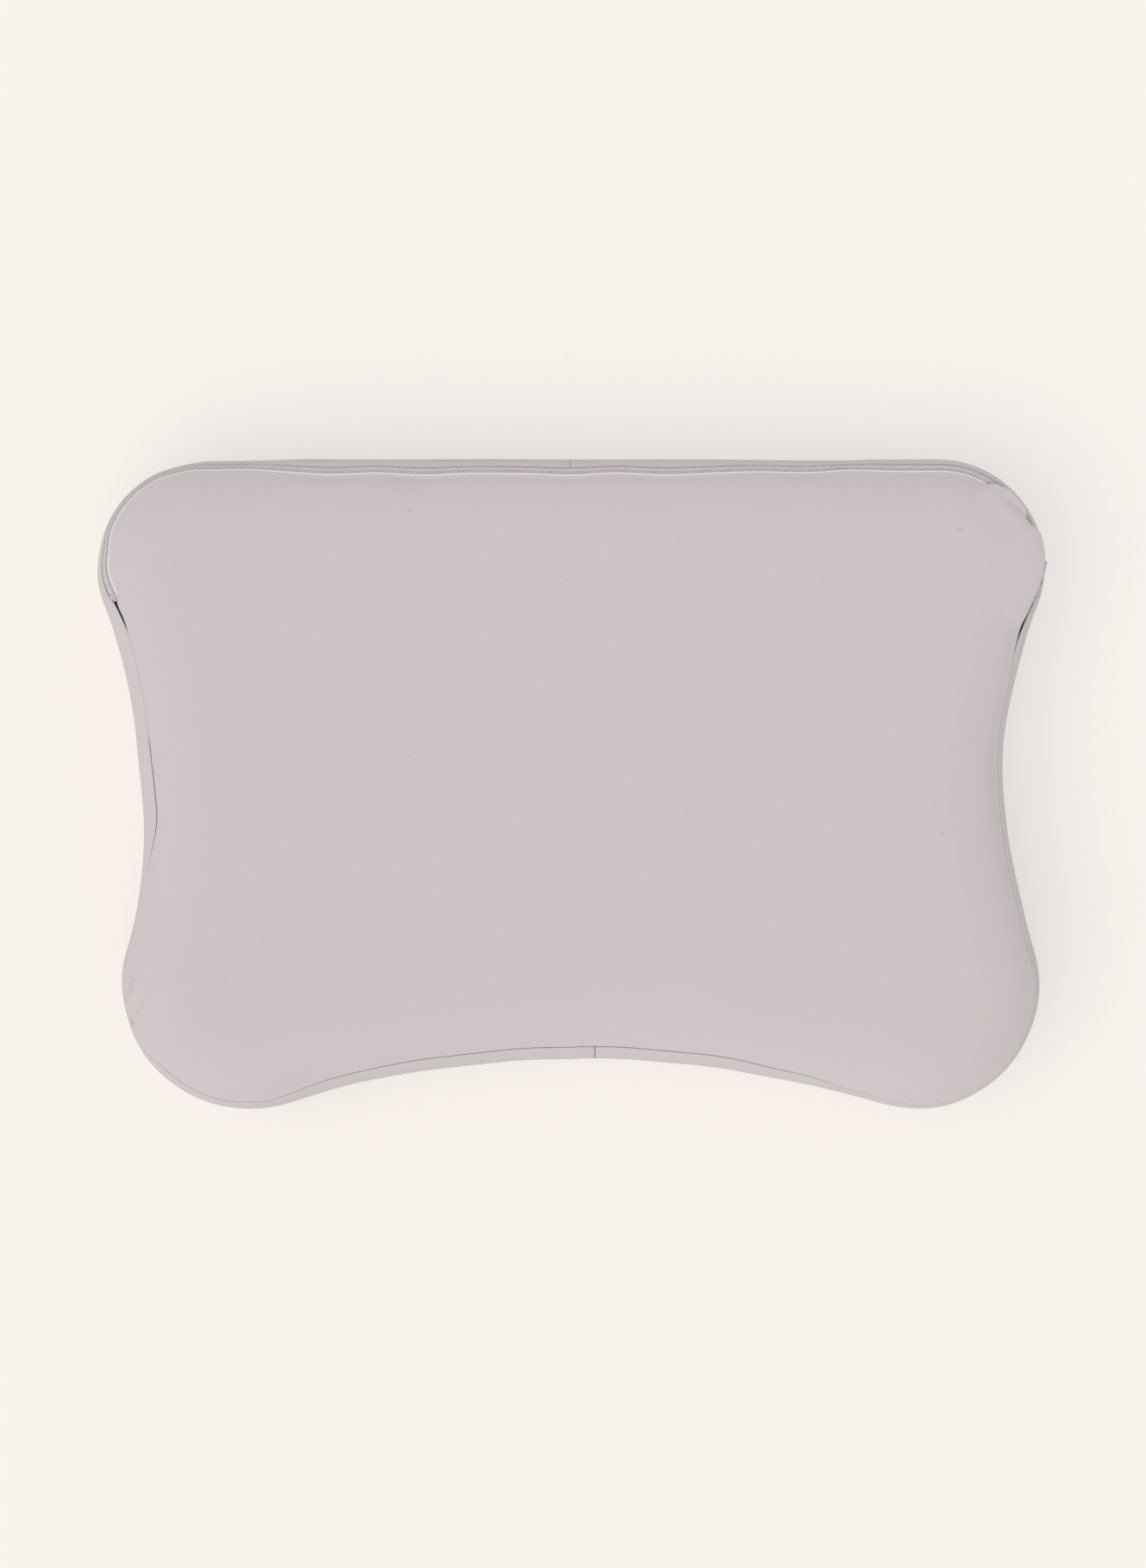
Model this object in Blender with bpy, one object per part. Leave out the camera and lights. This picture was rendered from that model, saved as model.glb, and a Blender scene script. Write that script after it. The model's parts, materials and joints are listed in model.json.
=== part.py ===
"""Four-lobed lumbar cushion with a zip-off boxed cover, lying on its back panel.

The foam core sits in a thin knitted liner. Over it goes a sewn cover: a front panel, a back panel
and a side band in two lengths. A coil zip is set into the far part of the front seam and runs round
both upper lobes. Its slider is parked at the right end, beside the bartack that closes the chain.

+X is the cushion's width, +Y points to the zipped edge, +Z points up out of the front panel.
The origin is on the floor, below the middle of the outline.
"""

import math

import bmesh
import bpy
from mathutils import Matrix, Vector

# Outline, seen from above (metres)
WIDTH = 0.562
DEPTH = 0.386
UPPER_LOBE_RADIUS = 0.065
LOWER_LOBE_RADIUS = 0.075
LOWER_WIDTH = 0.544
WAIST_RADIUS = 0.311
HOLLOW_RADIUS = 0.5975

# Height and edge shape of the cover
THICKNESS = 0.100
CROWN_RISE = 0.010
CROWN_END_INSET = 0.056
EDGE_RADIUS = 0.014
SIDE_BULGE = 0.002
SEAM_ANGLE = math.radians(50)

# Layers
COVER_CLOTH = 0.0012
LINER_CLOTH = 0.0008
FOAM_EDGE_RADIUS = 0.024
LAYER_GAP = 0.0003
TAPE_TUCK_GAP = 0.0006
TAPE_FOLD_GAP = 0.0010
BAND_JOIN_SHIFT = 0.008

# Zip: a nylon coil chain of 4.2 mm, on two woven tapes
COIL_INNER = 0.0008
COIL_WIDTH = 0.0013
COIL_HEIGHT = 0.0018
TAPE_THICKNESS = 0.0006
TAPE_WIDTH = 0.0105
SLIT_RUN_OUT = 0.016
BARTACK_LENGTH = 0.0025
BARTACK_HEIGHT = 0.0007
BARTACK_CLEARANCE = 0.0006

# Slider and pull tab
SLIDER_LENGTH = 0.0088
SLIDER_PLATE = 0.0009
FLANGE_WALL = 0.0010
POST_CLEARANCE = 0.0003
POST_LENGTH = 0.0024
CROWN_LENGTH = 0.0056
CROWN_WIDTH = 0.0016
CROWN_HEIGHT = 0.0026
EYE_LENGTH = 0.0034
EYE_HEIGHT = 0.0017
PULL_LENGTH = 0.0170
PULL_WIDTH = 0.0046
PULL_THICKNESS = 0.0011
PULL_WINDOW_WIDTH = 0.0026
PULL_WINDOW_LENGTH = 0.0062
RUNNING_GAP = 0.00035
OPENING_CLEARANCE = 0.00045
PLATE_BEVEL_SHARE = 0.25
JOIN_SHARE = 1 / 3
BRIDGE_BEVEL_SHARE = 0.2
PULL_BEVEL_SHARE = 0.7
SLIDER_PARK_GAP = 0.0010

# How finely the curves are divided
LOBE_STEPS = 12
WAIST_STEPS = 6
HOLLOW_STEPS = 4
STRAIGHT_STEPS = 4
ZIP_LOBE_STEPS = 19
EDGE_STEPS = 3
SIDE_STEPS = 2
CROWN_STEPS = 2

SLIDER_WIDTH = 2 * (COIL_INNER + COIL_WIDTH + RUNNING_GAP + FLANGE_WALL)
ZIP_OPENING = SLIDER_WIDTH / 2 + OPENING_CLEARANCE
BARTACK_WIDTH = 2 * (ZIP_OPENING - BARTACK_CLEARANCE)
POST_WIDTH = 2 * (COIL_INNER - POST_CLEARANCE)

CENTRE_UPPER = Vector((WIDTH / 2 - UPPER_LOBE_RADIUS, DEPTH / 2 - UPPER_LOBE_RADIUS))
CENTRE_LOWER = Vector((LOWER_WIDTH / 2 - LOWER_LOBE_RADIUS, LOWER_LOBE_RADIUS - DEPTH / 2))


def clear_scene():
    for obj in list(bpy.data.objects):
        bpy.data.objects.remove(obj, do_unlink=True)


def material(name, colour, roughness, metallic=0.0):
    made = bpy.data.materials.new(name)
    made.use_nodes = True
    shader = made.node_tree.nodes["Principled BSDF"]
    shader.inputs["Base Color"].default_value = (*colour, 1.0)
    shader.inputs["Roughness"].default_value = roughness
    shader.inputs["Metallic"].default_value = metallic
    return made


# ---- Outline: circular arcs that touch each other, and one straight edge ----


def touching_centre(first, first_radius, second, second_radius, radius):
    """Centre of the circle of this radius that touches both circles from outside, on the right of
    the line from first to second."""
    across = second - first
    length = across.length
    reach_first = first_radius + radius
    reach_second = second_radius + radius
    along = (reach_first**2 - reach_second**2 + length**2) / (2 * length)
    aside = math.sqrt(reach_first**2 - along**2)
    direction = across / length
    return first + direction * along + Vector((direction.y, -direction.x)) * aside


def bearing(centre, point):
    return math.atan2(point.y - centre.y, point.x - centre.x)


def arc_stations(centre, radius, start, end, steps, hollow=False):
    """Points and outward normals along an arc; a hollow arc's centre lies outside the cushion."""
    stations = []
    for step in range(steps + 1):
        angle = start + (end - start) * step / steps
        radial = Vector((math.cos(angle), math.sin(angle)))
        stations.append((centre + radial * radius, -radial if hollow else radial))
    return stations


def mirrored(stations):
    """The same stretch on the cushion's left, in the order that goes on round the outline."""
    flipped = []
    for point, normal in reversed(stations):
        flipped.append((Vector((-point.x, point.y)), Vector((-normal.x, normal.y))))
    return flipped


WAIST_CENTRE = touching_centre(
    CENTRE_LOWER, LOWER_LOBE_RADIUS, CENTRE_UPPER, UPPER_LOBE_RADIUS, WAIST_RADIUS
)
HOLLOW_CENTRE = Vector(
    (0, CENTRE_LOWER.y - math.sqrt((LOWER_LOBE_RADIUS + HOLLOW_RADIUS) ** 2 - CENTRE_LOWER.x**2))
)
HOLLOW_END = bearing(HOLLOW_CENTRE, CENTRE_LOWER)
JOIN_BEARING = math.acos(BAND_JOIN_SHIFT / HOLLOW_RADIUS)
WAIST_LOW = bearing(WAIST_CENTRE, CENTRE_LOWER) % math.tau
WAIST_HIGH = bearing(WAIST_CENTRE, CENTRE_UPPER) % math.tau
ZIP_END_ANGLE = WAIST_HIGH - math.pi


def upper_lobe(steps):
    return arc_stations(CENTRE_UPPER, UPPER_LOBE_RADIUS, ZIP_END_ANGLE, math.pi / 2, steps)


def straight_edge(steps):
    """The far edge's right half, from the upper lobe to the middle."""
    corner = CENTRE_UPPER + Vector((0, UPPER_LOBE_RADIUS))
    stations = []
    for step in range(steps + 1):
        stations.append((Vector((corner.x * (1 - step / steps), corner.y)), Vector((0, 1))))
    return stations


def chained(*stretches):
    """Joins stretches that meet end to start, keeping one of each pair of equal stations."""
    whole = list(stretches[0])
    for stretch in stretches[1:]:
        whole.extend(stretch[1:])
    return whole


def right_half():
    """Anticlockwise from the side band's near join to the middle of the far edge."""
    lower_start = HOLLOW_END - math.pi
    lower_end = WAIST_LOW - math.pi
    return chained(
        arc_stations(HOLLOW_CENTRE, HOLLOW_RADIUS, JOIN_BEARING, HOLLOW_END, HOLLOW_STEPS, hollow=True),
        arc_stations(CENTRE_LOWER, LOWER_LOBE_RADIUS, lower_start, lower_end, LOBE_STEPS),
        arc_stations(WAIST_CENTRE, WAIST_RADIUS, WAIST_LOW, WAIST_HIGH, WAIST_STEPS, hollow=True),
        upper_lobe(LOBE_STEPS),
        straight_edge(STRAIGHT_STEPS),
    )


def left_half():
    """On from the middle of the far edge, back to the side band's near join."""
    near_stretch = arc_stations(
        HOLLOW_CENTRE, HOLLOW_RADIUS, math.pi / 2, JOIN_BEARING, 1, hollow=True
    )
    mirror_of = chained(
        arc_stations(HOLLOW_CENTRE, HOLLOW_RADIUS, math.pi / 2, HOLLOW_END, HOLLOW_STEPS, hollow=True),
        right_half()[HOLLOW_STEPS:],
    )
    return chained(mirrored(mirror_of), near_stretch)


def whole_outline():
    return chained(right_half(), left_half())[:-1]


def zip_run():
    """The stretch that the zip takes: right upper lobe, far edge, left upper lobe."""
    right = chained(upper_lobe(ZIP_LOBE_STEPS), straight_edge(STRAIGHT_STEPS))
    return chained(right, mirrored(right))


def zip_share(point):
    """1 where the front seam is split for the zip, falling to 0 over the slit's run-out."""
    end_height = CENTRE_UPPER.y + UPPER_LOBE_RADIUS * math.sin(ZIP_END_ANGLE)
    below = (end_height - point.y) / SLIT_RUN_OUT
    return min(1.0, max(0.0, 1.0 - below))


# ---- Profiles: (inset from the outline, height) pairs ----


def edge_arc(centre, radius, start, end, steps=EDGE_STEPS):
    """Points on a rounded edge; the angle is 0 at the side and a right angle on the panel."""
    points = []
    for step in range(steps + 1):
        angle = start + (end - start) * step / steps
        points.append((centre[0] - radius * math.cos(angle), centre[1] + radius * math.sin(angle)))
    return points


def side_wall(low, high, inset, steps=SIDE_STEPS):
    """The bulging side between two heights, without its two ends."""
    points = []
    for step in range(1, steps):
        share = step / steps
        bulge = SIDE_BULGE * (1 - (2 * share - 1) ** 2)
        points.append((inset - bulge, low + (high - low) * share))
    return points


def crown(inset, height, depth):
    """The front's crown, from the top of the rounded edge to its flat middle."""
    points = []
    for step in range(1, CROWN_STEPS + 1):
        share = step / CROWN_STEPS
        rise = CROWN_RISE * math.sin(share * math.pi / 2)
        points.append((inset + (CROWN_END_INSET - inset) * share, height - depth + rise))
    return points


SHOULDER_HEIGHT = THICKNESS - CROWN_RISE
LINER_JOIN_HEIGHT = SHOULDER_HEIGHT / 2
SHOULDER_CENTRE = (SIDE_BULGE + EDGE_RADIUS, SHOULDER_HEIGHT - EDGE_RADIUS)
FOOT_CENTRE = (SIDE_BULGE + EDGE_RADIUS, EDGE_RADIUS)
SEAM_INSET = SHOULDER_CENTRE[0] - EDGE_RADIUS * math.cos(SEAM_ANGLE)
SEAM_HEIGHT = SHOULDER_CENTRE[1] + EDGE_RADIUS * math.sin(SEAM_ANGLE)
ZIP_PATH_RADIUS = UPPER_LOBE_RADIUS - SEAM_INSET
SLIDER_PARK_ANGLE = ZIP_END_ANGLE + (
    (BARTACK_LENGTH + SLIDER_PARK_GAP + SLIDER_LENGTH / 2) / ZIP_PATH_RADIUS
)


def front_panel_profile(share):
    """Out from the flat middle to the seam, round the rim, and back in."""
    set_back = LAYER_GAP / 2 + (ZIP_OPENING - LAYER_GAP / 2) * share
    rim = SEAM_ANGLE + set_back / EDGE_RADIUS
    inner = EDGE_RADIUS - COVER_CLOTH
    outside = edge_arc(SHOULDER_CENTRE, EDGE_RADIUS, rim, math.pi / 2, 2)
    outside += crown(SHOULDER_CENTRE[0], SHOULDER_HEIGHT, 0)
    inside = edge_arc(SHOULDER_CENTRE, inner, rim, math.pi / 2, 2)
    inside += crown(SHOULDER_CENTRE[0], SHOULDER_HEIGHT, COVER_CLOTH)
    return outside[::-1] + inside


def back_panel_profile(_share):
    rim = -SEAM_ANGLE - LAYER_GAP / 2 / EDGE_RADIUS
    inner = EDGE_RADIUS - COVER_CLOTH
    outside = edge_arc(FOOT_CENTRE, EDGE_RADIUS, -math.pi / 2, rim, 2)
    inside = edge_arc(FOOT_CENTRE, inner, -math.pi / 2, rim, 2)
    return outside + inside[::-1]


def band_profile(share):
    set_back = LAYER_GAP / 2 + (ZIP_OPENING - LAYER_GAP / 2) * share
    top = SEAM_ANGLE - set_back / EDGE_RADIUS
    bottom = -SEAM_ANGLE + LAYER_GAP / 2 / EDGE_RADIUS
    inner = EDGE_RADIUS - COVER_CLOTH
    outside = edge_arc(FOOT_CENTRE, EDGE_RADIUS, bottom, 0)
    outside += side_wall(FOOT_CENTRE[1], SHOULDER_CENTRE[1], SIDE_BULGE)
    outside += edge_arc(SHOULDER_CENTRE, EDGE_RADIUS, 0, top)
    inside = edge_arc(FOOT_CENTRE, inner, bottom, 0)
    inside += side_wall(FOOT_CENTRE[1], SHOULDER_CENTRE[1], SIDE_BULGE + COVER_CLOTH)
    inside += edge_arc(SHOULDER_CENTRE, inner, 0, top)
    return outside + inside[::-1]


def under_cover(depth, radius):
    """Side inset, edge centres and top height of a layer that lies this far under the cover."""
    side = SIDE_BULGE + depth
    foot = (side + radius, depth + radius)
    shoulder = (side + radius, SHOULDER_HEIGHT - depth - radius)
    return side, foot, shoulder


LINER_DEPTH = COVER_CLOTH + LAYER_GAP
FOAM_DEPTH = LINER_DEPTH + LINER_CLOTH + LAYER_GAP


def liner_front_profile(_share):
    def shell(depth, radius):
        side, _foot, shoulder = under_cover(depth, radius)
        points = [(side - SIDE_BULGE, LINER_JOIN_HEIGHT + LAYER_GAP / 2)]
        points += edge_arc(shoulder, radius, 0, math.pi / 2)
        return points + crown(shoulder[0], SHOULDER_HEIGHT, depth)

    outside = shell(LINER_DEPTH, FOAM_EDGE_RADIUS + LINER_CLOTH + LAYER_GAP)
    inside = shell(LINER_DEPTH + LINER_CLOTH, FOAM_EDGE_RADIUS + LAYER_GAP)
    return outside[::-1] + inside


def liner_back_profile(_share):
    def shell(depth, radius):
        side, foot, _shoulder = under_cover(depth, radius)
        points = edge_arc(foot, radius, -math.pi / 2, 0)
        return points + [(side - SIDE_BULGE, LINER_JOIN_HEIGHT - LAYER_GAP / 2)]

    outside = shell(LINER_DEPTH, FOAM_EDGE_RADIUS + LINER_CLOTH + LAYER_GAP)
    inside = shell(LINER_DEPTH + LINER_CLOTH, FOAM_EDGE_RADIUS + LAYER_GAP)
    return outside + inside[::-1]


def foam_profile(_share):
    side, foot, shoulder = under_cover(FOAM_DEPTH, FOAM_EDGE_RADIUS)
    points = edge_arc(foot, FOAM_EDGE_RADIUS, -math.pi / 2, 0)
    points += [(side - SIDE_BULGE, LINER_JOIN_HEIGHT)]
    points += edge_arc(shoulder, FOAM_EDGE_RADIUS, 0, math.pi / 2)
    return points + crown(shoulder[0], SHOULDER_HEIGHT, FOAM_DEPTH)


# ---- Across the zip: distance from the seam line, and height over the seam's tangent plane ----

ACROSS = (math.sin(SEAM_ANGLE), math.cos(SEAM_ANGLE))
OUTWARD = (-math.cos(SEAM_ANGLE), math.sin(SEAM_ANGLE))


def zip_spot(across, lift):
    """(inset, height) of a point across the zip; + is towards the front panel."""
    return (
        SEAM_INSET + across * ACROSS[0] + lift * OUTWARD[0],
        SEAM_HEIGHT + across * ACROSS[1] + lift * OUTWARD[1],
    )


def shoulder_spot(across, depth):
    """(inset, height) of a point under the cover's cloth, this far from the seam along the cloth."""
    angle = SEAM_ANGLE + across / EDGE_RADIUS
    past_edge = max(0.0, angle - math.pi / 2) * EDGE_RADIUS
    angle = min(angle, math.pi / 2)
    radius = EDGE_RADIUS - depth
    return (
        SHOULDER_CENTRE[0] - radius * math.cos(angle) + past_edge,
        SHOULDER_CENTRE[1] + radius * math.sin(angle),
    )


TAPE_TOP = -COVER_CLOTH - TAPE_FOLD_GAP
TAPE_BOTTOM = TAPE_TOP - TAPE_THICKNESS
COIL_BOTTOM = TAPE_TOP + LAYER_GAP
COIL_TOP = COIL_BOTTOM + COIL_HEIGHT


def tape_profile(side):
    """The tape is flat under the chain and then follows the cloth's underside."""
    depth = COVER_CLOTH + TAPE_TUCK_GAP
    turn = ZIP_OPENING
    middle = (turn + TAPE_WIDTH) / 2
    top = [zip_spot(side * COIL_INNER, TAPE_TOP), zip_spot(side * turn, TAPE_TOP)]
    top += [shoulder_spot(side * middle, depth), shoulder_spot(side * TAPE_WIDTH, depth)]
    low = [zip_spot(side * COIL_INNER, TAPE_BOTTOM), zip_spot(side * turn, TAPE_BOTTOM)]
    low += [
        shoulder_spot(side * middle, depth + TAPE_THICKNESS),
        shoulder_spot(side * TAPE_WIDTH, depth + TAPE_THICKNESS),
    ]
    return top + low[::-1]


def coil_profile(side):
    near = side * COIL_INNER
    far = side * (COIL_INNER + COIL_WIDTH)
    return [
        zip_spot(near, COIL_BOTTOM),
        zip_spot(far, COIL_BOTTOM),
        zip_spot(far, COIL_TOP),
        zip_spot(near, COIL_TOP),
    ]


# ---- Solids ----


def spot_at(station, pair):
    point, normal = station
    inset, height = pair
    flat = point - normal * inset
    return Vector((flat.x, flat.y, height))


def finished(name, mesh_maker, finish):
    """Makes the object, with its faces turned outwards."""
    bmesh.ops.recalc_face_normals(mesh_maker, faces=mesh_maker.faces)
    mesh = bpy.data.meshes.new(name)
    mesh_maker.to_mesh(mesh)
    mesh_maker.free()
    mesh.materials.append(finish)
    mesh.shade_smooth()
    mesh.set_sharp_from_angle(angle=math.radians(35))
    made = bpy.data.objects.new(name, mesh)
    bpy.context.scene.collection.objects.link(made)
    return made


def of_kind(geometry, kind):
    """The items of one kind, such as edges, among mixed geometry."""
    return [item for item in geometry if isinstance(item, kind)]


def closed_round_outline(name, profile_at, finish):
    """Extrudes a ring of edges from one profile point to the next, and closes both ends with a
    flat face. The profile may change along the outline."""
    stations = whole_outline()
    profiles = [profile_at(zip_share(point)) for point, _normal in stations]
    shape = bmesh.new()
    station_of = shape.verts.layers.int.new("station")
    ring = []
    for index, station in enumerate(stations):
        vertex = shape.verts.new(spot_at(station, profiles[index][0]))
        vertex[station_of] = index
        ring.append(vertex)
    first_cap = shape.faces.new(ring)
    edges = list(first_cap.edges)
    for step in range(1, len(profiles[0])):
        grown = bmesh.ops.extrude_edge_only(shape, edges=edges)["geom"]
        edges = of_kind(grown, bmesh.types.BMEdge)
        for vertex in of_kind(grown, bmesh.types.BMVert):
            index = vertex[station_of]
            vertex.co = spot_at(stations[index], profiles[index][step])
    bmesh.ops.contextual_create(shape, geom=edges)
    return finished(name, shape, finish)


def swept_strip(name, stations, profile_at, finish):
    """Extrudes a closed cross-section from station to station along part of the outline."""
    shape = bmesh.new()
    corner_of = shape.verts.layers.int.new("corner")
    ring = []
    for index, pair in enumerate(profile_at(zip_share(stations[0][0]))):
        vertex = shape.verts.new(spot_at(stations[0], pair))
        vertex[corner_of] = index
        ring.append(vertex)
    edges = list(shape.faces.new(ring).edges)
    for station in stations[1:]:
        grown = bmesh.ops.extrude_edge_only(shape, edges=edges)["geom"]
        edges = of_kind(grown, bmesh.types.BMEdge)
        pairs = profile_at(zip_share(station[0]))
        for vertex in of_kind(grown, bmesh.types.BMVert):
            vertex.co = spot_at(station, pairs[vertex[corner_of]])
    bmesh.ops.contextual_create(shape, geom=edges)
    return finished(name, shape, finish)


def shortened(stations, gap):
    """The same run with both ends drawn in, so that two lengths don't touch at their join."""
    (first, first_normal), (second, _) = stations[0], stations[1]
    (last, last_normal), (before, _) = stations[-1], stations[-2]
    start = first + (second - first).normalized() * gap
    end = last + (before - last).normalized() * gap
    return [(start, first_normal), *stations[1:-1], (end, last_normal)]


def make_block(name, low, high, finish, bevel=0.0, segments=2):
    """A box between two corners, with its edges rounded."""
    shape = bmesh.new()
    bmesh.ops.create_cube(shape, size=1)
    size = Vector(high) - Vector(low)
    middle = (Vector(high) + Vector(low)) / 2
    bmesh.ops.scale(shape, vec=size, verts=shape.verts)
    bmesh.ops.translate(shape, vec=middle, verts=shape.verts)
    if bevel:
        bmesh.ops.bevel(
            shape, geom=shape.edges, offset=bevel, segments=segments, profile=0.5, affect="EDGES"
        )
    return finished(name, shape, finish)


def apply_boolean(target, other, operation):
    """Joins or cuts with another solid, which stays as a hidden helper."""
    other.hide_render = True
    other.display_type = "WIRE"
    modifier = target.modifiers.new(other.name, "BOOLEAN")
    modifier.operation = operation
    modifier.solver = "EXACT"
    modifier.object = other


def make_slider(finish, axis):
    """A two-plate slider in its own axes: X along the chain, Y to the front panel, Z outwards.
    The post that parts the two coils stands at its mouth, on the bartack's side."""
    half_length = SLIDER_LENGTH / 2
    half_width = SLIDER_WIDTH / 2
    top_low = COIL_TOP + RUNNING_GAP
    top_high = top_low + SLIDER_PLATE
    bottom_high = TAPE_BOTTOM - RUNNING_GAP
    flange_low = TAPE_TOP + RUNNING_GAP
    overlap = SLIDER_PLATE * JOIN_SHARE
    slider = make_block(
        "zip_slider",
        (-half_length, -half_width, top_low),
        (half_length, half_width, top_high),
        finish,
        bevel=SLIDER_PLATE * PLATE_BEVEL_SHARE,
    )
    helpers = [
        make_block(
            "slider_lower_plate",
            (-half_length, -half_width, bottom_high - SLIDER_PLATE),
            (half_length, half_width, bottom_high),
            finish,
            bevel=SLIDER_PLATE * PLATE_BEVEL_SHARE,
        ),
        make_block(
            "slider_post",
            (-half_length + POST_WIDTH / 2, -POST_WIDTH / 2, bottom_high - overlap),
            (-half_length + POST_WIDTH / 2 + POST_LENGTH, POST_WIDTH / 2, top_low + overlap),
            finish,
        ),
    ]
    for side in (-1, 1):
        edge = half_width - overlap
        wall = sorted((side * edge, side * (edge - FLANGE_WALL + overlap)))
        helpers.append(
            make_block(
                f"slider_flange_{'band' if side < 0 else 'panel'}",
                (-half_length + overlap, wall[0], flange_low),
                (half_length - overlap, wall[1], top_low + overlap),
                finish,
            )
        )
    for helper in helpers:
        apply_boolean(slider, helper, "UNION")
    bridge = make_block(
        "slider_bridge",
        (-CROWN_LENGTH / 2, -CROWN_WIDTH / 2, top_high - overlap),
        (CROWN_LENGTH / 2, CROWN_WIDTH / 2, top_high + CROWN_HEIGHT),
        finish,
        bevel=CROWN_WIDTH * BRIDGE_BEVEL_SHARE,
    )
    eye = make_block(
        "bridge_eye",
        (-EYE_LENGTH / 2, -CROWN_WIDTH, top_high),
        (EYE_LENGTH / 2, CROWN_WIDTH, top_high + EYE_HEIGHT),
        finish,
    )
    apply_boolean(bridge, eye, "DIFFERENCE")
    apply_boolean(slider, bridge, "UNION")
    for helper in (*helpers, bridge, eye):
        helper.parent = slider
    slider.parent = axis
    return slider, top_high + RUNNING_GAP + PULL_THICKNESS / 2


def make_pull(finish, slider, bar_height):
    """A flat tab with a window whose end bar turns in the slider's eye. Its origin is on the bar."""
    half = PULL_THICKNESS / 2
    pull = make_block(
        "zip_pull_tab",
        (-half, -PULL_WIDTH / 2, -half),
        (PULL_LENGTH, PULL_WIDTH / 2, half),
        finish,
        bevel=half * PULL_BEVEL_SHARE,
    )
    window = make_block(
        "pull_window",
        (half, -PULL_WINDOW_WIDTH / 2, -PULL_WIDTH),
        (half + PULL_WINDOW_LENGTH, PULL_WINDOW_WIDTH / 2, PULL_WIDTH),
        finish,
    )
    apply_boolean(pull, window, "DIFFERENCE")
    window.parent = pull
    pull.parent = slider
    pull.location = (0, 0, bar_height)
    return pull


def make_bartack(name, station, along, finish):
    """A dense block of thread that lies over both coils at an end of the chain."""
    point, normal = station
    base = spot_at(station, zip_spot(0, COIL_TOP + LAYER_GAP))
    outward = Vector((*(normal * math.cos(SEAM_ANGLE)), math.sin(SEAM_ANGLE)))
    across = Vector((*(-normal * math.sin(SEAM_ANGLE)), math.cos(SEAM_ANGLE)))
    run = across.cross(outward)
    tack = make_block(
        name,
        (-BARTACK_LENGTH / 2 + along, -BARTACK_WIDTH / 2, 0),
        (BARTACK_LENGTH / 2 + along, BARTACK_WIDTH / 2, BARTACK_HEIGHT),
        finish,
        bevel=BARTACK_HEIGHT * JOIN_SHARE,
    )
    tack.matrix_world = Matrix.Translation(base) @ Matrix((run, across, outward)).transposed().to_4x4()
    return tack


def build():
    clear_scene()
    cover = material("cover_cloth", (0.63, 0.57, 0.57), 0.85)
    liner = material("liner_knit", (0.86, 0.85, 0.82), 0.9)
    foam = material("foam", (0.88, 0.85, 0.74), 0.95)
    tape = material("zip_tape", (0.60, 0.56, 0.58), 0.8)
    nylon = material("zip_nylon", (0.62, 0.58, 0.60), 0.45)
    metal = material("slider_metal", (0.58, 0.55, 0.56), 0.4, 0.6)
    thread = material("thread", (0.60, 0.54, 0.54), 0.7)

    closed_round_outline("foam_core", foam_profile, foam)
    closed_round_outline("liner_front", liner_front_profile, liner)
    closed_round_outline("liner_back", liner_back_profile, liner)
    closed_round_outline("cover_front_panel", front_panel_profile, cover)
    closed_round_outline("cover_back_panel", back_panel_profile, cover)
    swept_strip("side_band_right", shortened(right_half(), LAYER_GAP / 2), band_profile, cover)
    swept_strip("side_band_left", shortened(left_half(), LAYER_GAP / 2), band_profile, cover)

    run = zip_run()
    swept_strip("zip_tape_band_side", run, lambda _share: tape_profile(-1), tape)
    swept_strip("zip_tape_panel_side", run, lambda _share: tape_profile(1), tape)
    swept_strip("zip_coil_band_side", run, lambda _share: coil_profile(-1), nylon)
    swept_strip("zip_coil_panel_side", run, lambda _share: coil_profile(1), nylon)
    make_bartack("zip_bartack_right", run[0], BARTACK_LENGTH / 2, thread)
    make_bartack("zip_bartack_left", run[-1], -BARTACK_LENGTH / 2, thread)

    axis = bpy.data.objects.new("right_lobe_axis", None)
    axis.location = (CENTRE_UPPER.x, CENTRE_UPPER.y, 0)
    axis.rotation_euler = (0, 0, SLIDER_PARK_ANGLE)
    bpy.context.scene.collection.objects.link(axis)
    slider, bar_height = make_slider(metal, axis)
    lean = math.pi / 2 - SEAM_ANGLE
    facing = Matrix.Rotation(math.pi / 2, 4, "Z") @ Matrix.Rotation(lean, 4, "X")
    slider.matrix_local = Matrix.Translation((ZIP_PATH_RADIUS, 0, SEAM_HEIGHT)) @ facing
    make_pull(metal, slider, bar_height)


build()
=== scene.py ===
# %% [markdown]
# # A lumbar cushion in a zip-off cover
# The object is a foam back cushion with four rounded lobes. It wears a thin knitted liner and a sewn
# cover: a front panel, a back panel and a side band, with a nylon coil zip let into the far seam.
# Everything soft is built here from one description of the outline and one of the edge, so that the
# layers always follow each other. Lengths are in metres.

# %% Load the frame
import json
import math

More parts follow.
